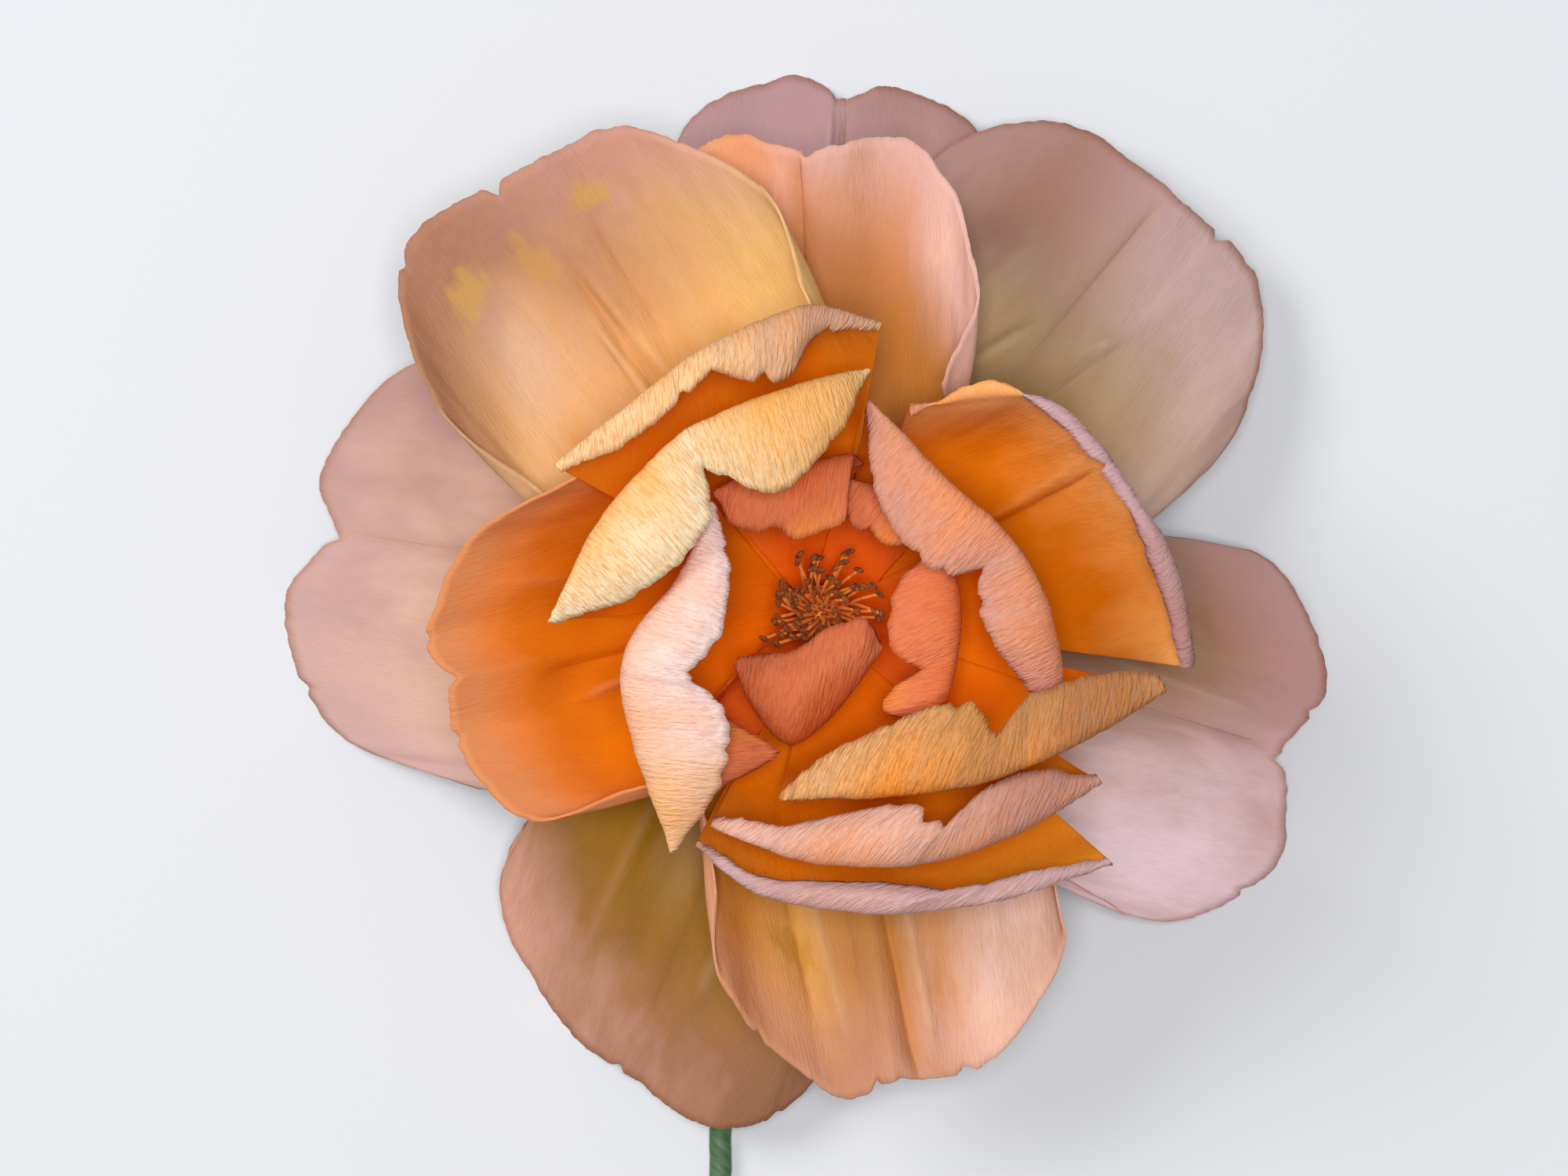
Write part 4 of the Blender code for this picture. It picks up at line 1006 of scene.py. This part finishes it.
def frames_along(path):
    """Two unit vectors across the path at each of its points, without twist."""
    frames = []
    side = Vector((1.0, 0.0, 0.0))
    for index, _ in enumerate(path):
        ahead = path[min(index + 1, len(path) - 1)] - path[max(index - 1, 0)]
        ahead.normalize()
        side = (side - ahead * side.dot(ahead)).normalized()
        frames.append((side, ahead.cross(side)))
    return frames


def stem_path(length):
    """The stem's axis: down from the calyx, round the bend, and along the table to -Y."""
    path = []
    bend_steps = 8
    for step in range(bend_steps + 1):
        turn = math.radians(90) * step / bend_steps
        y = -STEM_BEND_RADIUS * (1 - math.cos(turn))
        path.append(Vector((0.0, y, STEM_RADIUS + STEM_BEND_RADIUS * (1 - math.sin(turn)))))
    start = STEM_BEND_RADIUS
    steps = math.ceil((length - start) / STEM_STEP)
    for step in range(1, steps + 1):
        reach = start + (length - start) * step / steps
        share = min((reach - start) / STEM_DRIFT, 1.0)
        drift = STEM_OFFSET * share * share * (3 - 2 * share)
        path.append(Vector((-drift, -reach, STEM_RADIUS)))
    return path


def shift_to_frame():
    """Where the flower's axis meets the table, in the frame's own coordinates."""
    low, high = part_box("flower_core")
    return Vector(((low[0] + high[0]) / 2, (low[1] + high[1]) / 2, low[2] - CORE_BOTTOM))


def smooth_upsample(field, rows, columns):
    """A coarse grid of vectors read smoothly at a finer grid's points."""
    def along(values, count):
        last = len(values) - 1
        place = np.linspace(0.0, last, count)
        index = np.minimum(place.astype(int), last - 1)
        t = (place - index).reshape((-1,) + (1,) * (values.ndim - 1))
        padded = np.concatenate((values[:1], values, values[-1:]))
        a, b, c, d = (padded[index + step] for step in range(4))
        return 0.5 * (2 * b + (c - a) * t + (2 * a - 5 * b + 4 * c - d) * t ** 2
                      + (3 * b - a - 3 * c + d) * t ** 3)
    fine = along(field, rows)
    return along(fine.transpose(1, 0, 2), columns).transpose(1, 0, 2)


def as_array(grid):
    """A grid of vectors as one array."""
    return np.array([[tuple(point) for point in line] for line in grid])


def arc_lengths(points, axis):
    """Running length along one axis of a grid of points."""
    steps = np.linalg.norm(np.diff(points, axis=axis), axis=2)
    return np.concatenate((np.zeros_like(steps.take([0], axis)), np.cumsum(steps, axis)), axis)


def noise_field(across, along, pitch, length, seed):
    """Smooth noise over the paper, stretched along its grain, from -1 to 1."""
    values = [noise.noise((u / pitch, v / length, seed)) for u, v in zip(across.flat, along.flat)]
    return np.array(values).reshape(across.shape)


def torn(name, points, depth, seed):
    """The petal with its rim drawn back a little, unevenly, as torn crepe is, and nicked.

    The tear wanders at the tear pitch, with finer bites and, here and there, wider bays.
    """
    rows, columns = points.shape[0] - 1, points.shape[1] - 1
    rim = arc_lengths(points[-1:], 1)[0]
    length = arc_lengths(points, 0)[-1]
    cut = depth * np.array([
        0.5 + 0.9 * noise.noise((run / TEAR_PITCH, seed, 1.0))
        + 0.7 * abs(noise.noise((run / (TEAR_PITCH * 0.4), seed, 9.0)))
        + 1.2 * max(0.0, noise.noise((run / (TEAR_PITCH * 2.9), seed, 5.0)))
        for run in rim
    ])
    for share, deep in NICKS.get(name, ()):
        slope = np.abs(rim - share * rim[-1]) / NICK_WIDTH
        cut += deep * MM * np.clip(1.0 - slope, 0.0, 1.0)
    kept = 1 - np.clip(cut, 0.0, TEAR_LIMIT) / length
    place = np.linspace(0.0, 1.0, rows + 1)[:, None] * kept[None, :] * rows
    index = np.minimum(place.astype(int), rows - 1)
    t = (place - index)[:, :, None]
    column = np.broadcast_to(np.arange(columns + 1), index.shape)
    return points[index, column] * (1 - t) + points[index + 1, column] * t


def surface_normals(points):
    """Unit normals out of the back of a fine grid."""
    normals = np.cross(np.gradient(points, axis=1), np.gradient(points, axis=0))
    return normals / np.maximum(np.linalg.norm(normals, axis=2, keepdims=True), 1e-12)


def crease_depth(across, along, creases):
    """How deep the pressed creases are at each point of the paper."""
    share = along / along.max()
    depth = np.zeros_like(across)
    for start, end, low, high, deep, wide in creases:
        t = np.clip((share - low) / (high - low), 0.0, 1.0)
        line = (start + (end - start) * t) * MM
        inside = np.minimum(share - low, high + CREASE_PAST - share)
        fade = np.clip(inside / CREASE_FADE, 0.0, 1.0)
        near = np.abs(across - line) / (wide * MM)
        depth += deep * MM * fade * np.exp(-near ** CREASE_SHARPNESS)
    return depth


def paper_place(points):
    """Each point's place on the flat paper: across from the middle rib, and along the grain."""
    across = arc_lengths(points, 1)
    across -= across[:, across.shape[1] // 2][:, None]
    along = arc_lengths(points, 0).mean(axis=1, keepdims=True) * np.ones_like(across)
    return across, along


def room_around(points, others):
    """How far each point of a fine grid is from the nearest other petal, up to a limit."""
    found = []
    for point in points.reshape(-1, 3):
        near = others.find_nearest(point, ROOM_LIMIT)
        found.append(near[3] if near[0] is not None else ROOM_LIMIT)
    return np.array(found).reshape(points.shape[:2])


def crinkled(name, points, depths, others, seed):
    """The petal's middle surface with its creases, waves and crinkle, and its paper's grain.

    Waves, ruffle and crinkle each read noise of their own, so their seeds lie apart. Where
    another petal lies close, the relief is held back, so that the sheets stay apart.
    """
    crinkle, wave, ruffle = depths
    across, along = paper_place(points)
    share = np.linspace(0.0, 1.0, points.shape[0])[:, None]
    loose = np.clip((share - LOOSE_FROM) / LOOSE_OVER, 0.0, 1.0)
    rim = np.clip((share - RUFFLE_FROM) / (1 - RUFFLE_FROM), 0.0, 1.0) ** 2
    height = wave * loose * noise_field(across, along, WAVE_PITCH, WAVE_LENGTH, seed + 20)
    height += ruffle * rim * noise_field(across, along, RUFFLE_PITCH, RUFFLE_LENGTH, seed + 40)
    pressed = crease_depth(across, along, CREASES.get(name, ()))
    room = np.maximum(room_around(points, others) - ROOM_NEEDED, LEAST_ROOM) / 2
    height = room * np.tanh((height + pressed) / room)
    height += crinkle * loose * noise_field(across, along, CRINKLE_PITCH, CRINKLE_LENGTH, seed)
    return points + surface_normals(points) * height[:, :, None], across, along, pressed / MM


def put_in_scene(name, data):
    """A new object in the scene, made of the given data."""
    placed = bpy.data.objects.new(name, data)
    bpy.context.scene.collection.objects.link(placed)
    return placed


def new_piece(name, vertices, faces, materials, slot, *nodes):
    """A smooth mesh piece that rides on the rose in place of its solids."""
    mesh = bpy.data.meshes.new(name)
    mesh.from_pydata(vertices, [], faces)
    for made in materials:
        mesh.materials.append(made)
    mesh.polygons.foreach_set("use_smooth", np.ones(len(mesh.polygons), dtype=bool))
    piece = put_in_scene(name, mesh)
    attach(piece, "root")
    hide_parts(*nodes)
    return piece


def put_paper_map(mesh, across, along):
    """Give a mesh the map of its paper, in real sizes, from one value for each vertex."""
    paper = np.stack((across, along), axis=-1).reshape(-1, 2) / UV_UNIT
    loops = np.empty(len(mesh.loops), dtype=np.int32)
    mesh.loops.foreach_get("vertex_index", loops)
    layer = mesh.uv_layers.new(name="paper")
    layer.data.foreach_set("uv", paper[loops].reshape(-1).astype(np.float32))


def put_attribute(mesh, name, values):
    """Give a mesh a number for each vertex."""
    attribute = mesh.attributes.new(name, "FLOAT", "POINT")
    attribute.data.foreach_set("value", values.reshape(-1).astype(np.float32))


def sheet_piece(name, points, across, along, materials, slot, node, pressed=0.0):
    """A closed sheet of paper: front in the first material, back and cut edge in the second."""
    rows, columns = points.shape[0] - 1, points.shape[1] - 1
    normals = surface_normals(points)
    back = (points + normals * SEEN_PAPER / 2).reshape(-1, 3)
    front = (points - normals * SEEN_PAPER / 2).reshape(-1, 3)
    count = len(back)
    index = np.arange(count).reshape(rows + 1, columns + 1)
    corners = (index[:-1, :-1], index[:-1, 1:], index[1:, 1:], index[1:, :-1])
    skin = np.stack(corners, axis=-1).reshape(-1, 4)
    border = np.concatenate((index[0, :-1], index[:-1, -1], index[-1, :0:-1], index[:0:-1, 0]))
    following = np.roll(border, -1)
    edge = np.stack((following, border, border + count, following + count), axis=-1)
    faces = np.concatenate((skin, skin[:, ::-1] + count, edge)).tolist()
    vertices = np.concatenate((back, front)).tolist()
    piece = new_piece(name, vertices, faces, materials, slot, node)
    mesh = piece.data
    slots = np.ones(len(faces), dtype=np.int32)
    slots[len(skin):2 * len(skin)] = 0
    mesh.polygons.foreach_set("material_index", slots)
    smooth = np.ones(len(faces), dtype=bool)
    smooth[2 * len(skin):] = False
    mesh.polygons.foreach_set("use_smooth", smooth)
    reach, side = np.linspace(0.0, 1.0, rows + 1), np.linspace(0.0, 1.0, columns + 1)
    for mark, values in (("reach", reach[:, None]), ("side", side[None, :]), ("pressed", pressed)):
        put_attribute(mesh, mark, np.tile(values * np.ones((rows + 1, columns + 1)), (2, 1)))
    put_paper_map(mesh, np.tile(across, (2, 1)), np.tile(along, (2, 1)))


def fitted_petals():
    """Every petal's name, table row, layer, claw height and the way it is eased to its place.

    The petals are laid in the same order and with the same fit as their solids.
    """
    placed, petals = [], []
    for table, layer, claw_bottom, arch, rows, columns in PETAL_KINDS:
        for name, petal in table.items():
            if "fold" not in petal:
                claw_bottom -= OPEN_CLAW_STEP
            start = petal_grid(petal, claw_bottom, arch, rows, columns)
            fold_row = rows * FOLD_SHARE if "fold" in petal else rows + 2
            grid = lay_clear(start, placed, fold_row)
            placed.append(laid(grid))
            eased_by = as_array(grid) - as_array(start)
            petals.append((name, petal, layer, claw_bottom, arch, grid, eased_by))
    return petals


def tree_of(grids):
    """One search tree over several petals' middle surfaces."""
    points, triangles = [], []
    for grid in grids:
        first = len(points)
        points += [point for line in grid for point in line]
        skin = grid_triangles(len(grid) - 1, len(grid[0]) - 1)
        triangles += [tuple(first + corner for corner in triangle) for triangle in skin]
    return BVHTree.FromPolygons(points, triangles)


def lay_petals(axis):
    """Make every petal of the rose in fine crepe, in the place of its solid."""
    petals = fitted_petals()
    papers = {}
    for number, (name, petal, layer, claw_bottom, arch, _, eased_by) in enumerate(petals):
        rows, columns, crinkle, wave, ruffle, tear = FINE_SHEETS[layer]
        points = as_array(petal_grid(petal, claw_bottom, arch, rows, columns))
        points += smooth_upsample(eased_by, rows + 1, columns + 1)
        others = tree_of([row[5] for row in petals if row[0] != name])
        seed = FIRST_SEED + SEED_STEP * number
        points = torn(name, points, tear, seed)
        points, across, along, pressed = crinkled(
            name, points, (crinkle, wave, ruffle), others, seed)
        points[:, :, 2] = np.maximum(points[:, :, 2], SEEN_PAPER)
        points += np.array(axis)
        front = name if name in DYES_AND_PAINTED_SHADE else f"{layer}_front"
        backs = (f"{name}_back", f"{layer}_back", front)
        back = next(dye for dye in backs if dye in DYES_AND_PAINTED_SHADE)
        for dye in (front, back):
            if dye not in papers:
                papers[dye] = crepe_paper(dye)
        sheet_piece(f"{name}_crepe", points, across, along, (papers[front], papers[back]),
                    SLOTS[layer], name, pressed)


def make_sepals(axis, green):
    """Five pointed sepals in green crepe, in the places of their solids."""
    height = CALYX_BOTTOM + (CORE_BOTTOM - CLEARANCE - CALYX_BOTTOM) * CALYX_WIDEST
    base = CALYX_RADIUS + CLEARANCE + PAPER / 2
    rows, columns = SEPAL_GRID
    along, side = np.meshgrid(
        np.linspace(0, 1, rows), np.linspace(-1, 1, columns), indexing="ij")
    half = SEPAL_WIDTH / 2 * (0.55 + 1.6 * along) * (SEPAL_TIP - along) ** 0.8
    for number in range(SEPAL_COUNT):
        heading = SEPAL_HEADING + math.tau * number / SEPAL_COUNT
        outward = np.array((math.cos(heading), math.sin(heading)))
        sideways = np.array((-math.sin(heading), math.cos(heading)))
        flat = (outward * (base + SEPAL_LENGTH * along)[:, :, None]
                + sideways * (half * side)[:, :, None])
        drop = height - SEPAL_DROOP * along ** 2 - half * SEPAL_CURL * side ** 2
        points = np.concatenate((flat, drop[:, :, None]), axis=2) + np.array(axis)
        across, run = half * side, SEPAL_LENGTH * along
        crimp = noise_field(across, run, CRINKLE_PITCH * 0.7, CRINKLE_LENGTH, number + 0.5)
        points[:, :, 2] += crimp * SEPAL_CRIMP
        sheet_piece(f"sepal_{number + 1}_crepe", points, across, run, (green, green),
                    "green_paper", f"sepal_{number + 1}")


def tube_faces(rings, sides):
    """Faces round a tube whose points are numbered ring by ring."""
    faces = []
    for ring in range(rings):
        for side in range(sides):
            a, b = ring * sides + side, ring * sides + (side + 1) % sides
            faces.append((a, b, b + sides, a + sides))
    return faces


def make_calyx(axis, green):
    """The calyx cup: green crepe gathered round the neck of the stem in small pleats."""
    top = CORE_BOTTOM - CLEARANCE
    height = top - CALYX_BOTTOM
    outline = ((CALYX_NECK_RADIUS * 0.6, 0.0), (CALYX_NECK_RADIUS, 0.02),
               (CALYX_RADIUS * 0.72, 0.22), (CALYX_RADIUS * 0.97, 0.55),
               (CALYX_RADIUS, CALYX_WIDEST), (CALYX_RADIUS * 0.86, 0.98),
               (CALYX_RADIUS * 0.6, 1.0))
    profile = [Vector((radius, CALYX_BOTTOM + height * up)) for radius, up in outline]
    steps, sides = CALYX_STEPS, CALYX_SIDES
    vertices, across, along = [], [], []
    for step in range(steps + 1):
        radius, up = spline(profile, step / steps)
        for side in range(sides):
            angle = math.tau * side / sides
            pleat = noise.noise((
                math.cos(angle) * CALYX_PLEATS, math.sin(angle) * CALYX_PLEATS,
                step * CALYX_PLEAT_DRIFT))
            wide = radius + CALYX_PLEAT_DEPTH * (pleat - 0.5)
            vertices.append(axis + Vector((wide * math.cos(angle), wide * math.sin(angle), up)))
            across.append(angle * CALYX_RADIUS)
            along.append(up)
    faces = [tuple(reversed(range(sides))), tuple(range(steps * sides, (steps + 1) * sides))]
    faces += tube_faces(steps, sides)
    piece = new_piece("calyx_crepe", vertices, faces, (green,), "green_paper", "calyx_cup")
    put_paper_map(piece.data, np.array(across), np.array(along))


def fine_path(path, spacing):
    """A path read smoothly at an even small spacing."""
    length = sum((b - a).length for a, b in zip(path, path[1:]))
    count = int(length / spacing)
    return [spline(path, step / count) for step in range(count + 1)]


def make_stem(axis, tape):
    """The stem's tape, wound in a spiral so that each turn laps over the one before."""
    path = fine_path(stem_path(STEM_REACH), TAPE_SPACING)
    sides = TAPE_SIDES
    bore = WIRE_RADIUS + CLEARANCE
    vertices, across, along = [], [], []
    run = 0.0
    frames = frames_along(path)
    for number, (point, (side, other)) in enumerate(zip(path, frames)):
        run += (point - path[number - 1]).length if number else 0.0
        for step in range(sides):
            angle = math.tau * step / sides
            turn = run / TAPE_PITCH + step / sides
            lap = TAPE_STEP * (turn % 1.0) + TAPE_CRINKLE * noise.noise((turn * 9, angle * 2, 3.0))
            radius = STEM_RADIUS - TAPE_STEP - TAPE_CRINKLE + min(lap, TAPE_STEP)
            spot = axis + point + (side * math.cos(angle) + other * math.sin(angle)) * radius
            vertices.append(Vector((spot.x, spot.y, max(spot.z, 0.0))))
            across.append(run + angle * STEM_RADIUS * TAPE_SLANT)
            along.append(angle * STEM_RADIUS - run * (1 - TAPE_SLANT))
    last = (len(path) - 1) * sides
    faces = tube_faces(len(path) - 1, sides)
    for end, ring, turned_round in ((0, 0, True), (last, len(path) - 1, False)):
        first = len(vertices)
        side, other = frames[ring]
        for step in range(sides):
            angle = math.tau * step / sides
            vertices.append(axis + path[ring]
                            + (side * math.cos(angle) + other * math.sin(angle)) * bore)
            across.append(0.0)
            along.append(0.0)
        for step in range(sides):
            after = (step + 1) % sides
            face = (end + step, end + after, first + after, first + step)
            faces.append(face[::-1] if turned_round else face)
    piece = new_piece("stem_tape", vertices, faces, (tape,), "green_paper", "stem_wrap")
    put_paper_map(piece.data, np.array(across), np.array(along))


def thread_tuft(thread, anther):
    """A tree for the tuft: bent threads with dark tips that stand on one glued button.

    The threads stand on a disc at the golden angle, and lean out more toward its edge. A
    Random Value node of numbers has its lowest, highest and seed in inputs 2, 3 and 8.
    """
    tree = bpy.data.node_groups.new("stamen_tuft", "GeometryNodeTree")
    tree.interface.new_socket("Geometry", in_out="OUTPUT", socket_type="NodeSocketGeometry")
    for name, kind in (("Count", "NodeSocketInt"), ("Height", "NodeSocketFloat"),
                       ("Thread Radius", "NodeSocketFloat"), ("Anther Radius", "NodeSocketFloat"),
                       ("Disc Radius", "NodeSocketFloat"), ("Button Height", "NodeSocketFloat"),
                       ("Lean", "NodeSocketFloat")):
        tree.interface.new_socket(name, in_out="INPUT", socket_type=kind)
    given = tree.nodes.new("NodeGroupInput").outputs
    tall = add(tree, "ShaderNodeCombineXYZ", None, {
        "X": given["Height"], "Y": given["Height"], "Z": given["Height"]})
    line = add(tree, "GeometryNodeCurveQuadraticBezier", None, {
        "Resolution": 7, "Start": (0.0, 0.0, 0.0), "Middle": THREAD_MIDDLE,
        "End": THREAD_TIP})
    line = add(tree, "GeometryNodeTransform", None, {"Geometry": line, "Scale": tall})
    ring = add(tree, "GeometryNodeCurvePrimitiveCircle", None, {
        "Resolution": 6, "Radius": given["Thread Radius"]})
    stalk = add(tree, "GeometryNodeCurveToMesh", None, {
        "Curve": line, "Profile Curve": ring, "Fill Caps": True})
    tip = add(tree, "ShaderNodeVectorMath", {"operation": "SCALE"}, {
        0: THREAD_TIP, "Scale": given["Height"]})
    bead = add(tree, "GeometryNodeMeshIcoSphere", None, {
        "Radius": given["Anther Radius"], "Subdivisions": 2})
    bead = add(tree, "GeometryNodeTransform", None, {
        "Geometry": bead, "Translation": tip, "Rotation": (0.9, 0.3, 0.0),
        "Scale": ANTHER_SHAPE})
    bead = add(tree, "GeometryNodeStoreNamedAttribute", {"data_type": "FLOAT", "domain": "FACE"},
               {"Geometry": bead, "Name": "anther", "Value": 1.0})
    stamen = add(tree, "GeometryNodeJoinGeometry", None, {0: [stalk, bead]})

    number = add(tree, "GeometryNodeInputIndex")
    share = add(tree, "ShaderNodeMath", {"operation": "ADD"}, {0: number, 1: 0.5})
    share = add(tree, "ShaderNodeMath", {"operation": "DIVIDE"}, {0: share, 1: given["Count"]})
    share = add(tree, "ShaderNodeMath", {"operation": "SQRT"}, {0: share})
    radius = add(tree, "ShaderNodeMath", {"operation": "MULTIPLY"},
                 {0: share, 1: given["Disc Radius"]})
    angle = add(tree, "ShaderNodeMath", {"operation": "MULTIPLY"}, {0: number, 1: GOLDEN_ANGLE})
    place = add(tree, "ShaderNodeCombineXYZ", None, {"X": radius, "Z": given["Button Height"]})
    place = add(tree, "ShaderNodeVectorRotate", {"rotation_type": "Z_AXIS"},
                {"Vector": place, "Angle": angle})
    points = add(tree, "GeometryNodePoints", None, {"Count": given["Count"], "Position": place})
    loose = add(tree, "FunctionNodeRandomValue", {"data_type": "FLOAT"}, {2: 0.35, 3: 1.0, 8: 3}, 1)
    lean = add(tree, "ShaderNodeMath", {"operation": "MULTIPLY"}, {0: share, 1: given["Lean"]})
    lean = add(tree, "ShaderNodeMath", {"operation": "MULTIPLY"}, {0: lean, 1: loose})
    twist = add(tree, "FunctionNodeRandomValue", {"data_type": "FLOAT"}, {2: -0.7, 3: 0.7, 8: 5}, 1)
    twist = add(tree, "ShaderNodeMath", {"operation": "ADD"}, {0: angle, 1: twist})
    turn = add(tree, "ShaderNodeCombineXYZ", None, {"Y": lean, "Z": twist})
    grown = add(tree, "FunctionNodeRandomValue", {"data_type": "FLOAT"}, {2: 0.72, 3: 1.0, 8: 7}, 1)
    size = add(tree, "ShaderNodeCombineXYZ", None, {"X": 1.0, "Y": 1.0, "Z": grown})
    tuft = add(tree, "GeometryNodeInstanceOnPoints", None, {
        "Points": points, "Instance": stamen, "Rotation": turn, "Scale": size})
    half = add(tree, "ShaderNodeMath", {"operation": "MULTIPLY"},
               {0: given["Button Height"], 1: 0.5})
    half = add(tree, "ShaderNodeCombineXYZ", None, {"Z": half})
    button = add(tree, "GeometryNodeMeshCylinder", None, {
        "Vertices": 28, "Side Segments": 2, "Fill Segments": 3,
        "Radius": given["Disc Radius"], "Depth": given["Button Height"]})
    button = add(tree, "GeometryNodeTransform", None, {"Geometry": button, "Translation": half})
    real = add(tree, "GeometryNodeJoinGeometry", None, {0: [tuft, button]})
    real = add(tree, "GeometryNodeRealizeInstances", None, {"Geometry": real})
    real = add(tree, "GeometryNodeSetMaterial", None, {"Geometry": real, "Material": thread})
    dark = add(tree, "GeometryNodeInputNamedAttribute", {"data_type": "FLOAT"}, {"Name": "anther"})
    dark = add(tree, "ShaderNodeMath", {"operation": "GREATER_THAN"}, {0: dark, 1: 0.5})
    real = add(tree, "GeometryNodeSetMaterial", None, {
        "Geometry": real, "Selection": dark, "Material": anther})
    add(tree, "NodeGroupOutput", None, {0: real})
    return tree


def make_stamens(axis):
    """The tuft of stamens on the core, made by its tree and turned into a plain mesh."""
    # Dyed cotton thread is matt and a little fuzzy, so each stalk looks softly two-toned
    thread = plain_finish("dyed_cotton_thread_orange", "#ea7a18", "#ffa648", 0.8 * MM, 0.8)
    # The tips are thread dipped in brown dye: dull and dark, with paler specks where it is thin
    anther = plain_finish("dipped_cotton_tips_brown", "#58280c", "#a05414", 0.5 * MM, 0.9)
    sizes = {
        "Count": THREAD_COUNT, "Height": STAMEN_HEIGHT, "Thread Radius": THREAD_RADIUS,
        "Anther Radius": ANTHER_RADIUS, "Disc Radius": CORE_RADIUS,
        "Button Height": STAMEN_BUTTON, "Lean": THREAD_LEAN,
    }
    holder = put_in_scene("tuft_source", bpy.data.meshes.new("tuft_source"))
    modifier = holder.modifiers.new("tuft", "NODES")
    modifier.node_group = thread_tuft(thread, anther)
    for item in modifier.node_group.interface.items_tree:
        if item.name in sizes:
            modifier[item.identifier] = sizes[item.name]
    evaluated = holder.evaluated_get(bpy.context.evaluated_depsgraph_get())
    mesh = bpy.data.meshes.new_from_object(evaluated)
    holder.modifiers.remove(modifier)
    bpy.data.objects.remove(holder)
    mesh.transform(Matrix.Translation(axis + Z_AXIS * (CORE_TOP + CLEARANCE)))
    piece = put_in_scene("stamen_tuft", mesh)
    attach(piece, "root")
    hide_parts("stamens")


def finish_solids():
    """Finish the two solids that stay: the paper core, and the wire's bare end."""
    # Undyed crepe rolled tight and glued: cream, matt, with a faint fibre grain
    core = plain_finish("rolled_crepe_core", "#e8d9a8", "#f3e9c8", 0.6 * MM, 0.85)
    # Drawn steel wire cut with pliers: grey and half bright, with fine dull specks
    wire = plain_finish("drawn_steel_wire", "#6e6e70", "#9a9a9c", 0.3 * MM, 0.38, 1.0)
    finishes = {"flower_core": core, "stem_wire": wire}
    for node, made in finishes.items():
        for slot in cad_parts[node].material_slots:
            slot.material = made


def lay_floor():
    """A plain pale surface under the rose."""
    mesh = bpy.data.meshes.new("floor")
    corners = [(x * FLOOR_HALF, y * FLOOR_HALF, 0.0)
               for x, y in ((-1, -1), (1, -1), (1, 1), (-1, 1))]
    mesh.from_pydata(corners, [], [(0, 1, 2, 3)])
    floor = put_in_scene("floor", mesh)
    made, tree = new_material("pale_floor")
    surface = add(tree, "ShaderNodeBsdfPrincipled", None, {
        "Base Color": linear("#cfd1d5"), "Roughness": 0.9})
    add(tree, "ShaderNodeOutputMaterial", None, {"Surface": surface})
    mesh.materials.append(made)


def light_and_camera(axis):
    """Soft studio light from the left, and the camera looking down on the flower's face."""
    scene = bpy.context.scene
    scene.view_settings.view_transform = "Standard"
    world = bpy.data.worlds.new("studio")
    world.use_nodes = True
    world.node_tree.nodes["Background"].inputs["Color"].default_value = linear("#f4f5f8")
    world.node_tree.nodes["Background"].inputs["Strength"].default_value = 0.25
    scene.world = world
    for name, place, size, power in LAMPS:
        lamp = bpy.data.lights.new(name, "AREA")
        lamp.size = size
        lamp.energy = power
        holder = put_in_scene(name, lamp)
        holder.location = Vector(place) + axis
        aim = axis + Z_AXIS * LAMP_AIM - holder.location
        holder.rotation_euler = aim.to_track_quat("-Z", "Y").to_euler()
    camera = bpy.data.cameras.new("camera")
    camera.sensor_width = SENSOR_WIDTH
    camera.lens = camera.sensor_width * (CAMERA_HEIGHT - RIM_HEIGHT) / FRAME_WIDTH
    eye = put_in_scene("camera", camera)
    eye.location = axis + Vector((CAMERA_ASIDE, CAMERA_AHEAD, CAMERA_HEIGHT))
    scene.camera = eye


flower_axis = shift_to_frame()
lay_petals(flower_axis)
make_stamens(flower_axis)
green_leaf = green_crepe("green_crepe_leaf", "#3f6e46", "#5c8e5e")
make_calyx(flower_axis, green_leaf)
make_sepals(flower_axis, green_leaf)
make_stem(flower_axis, green_crepe("green_florist_tape", "#36563a", "#4c7048"))
finish_solids()
lay_floor()
light_and_camera(flower_axis)
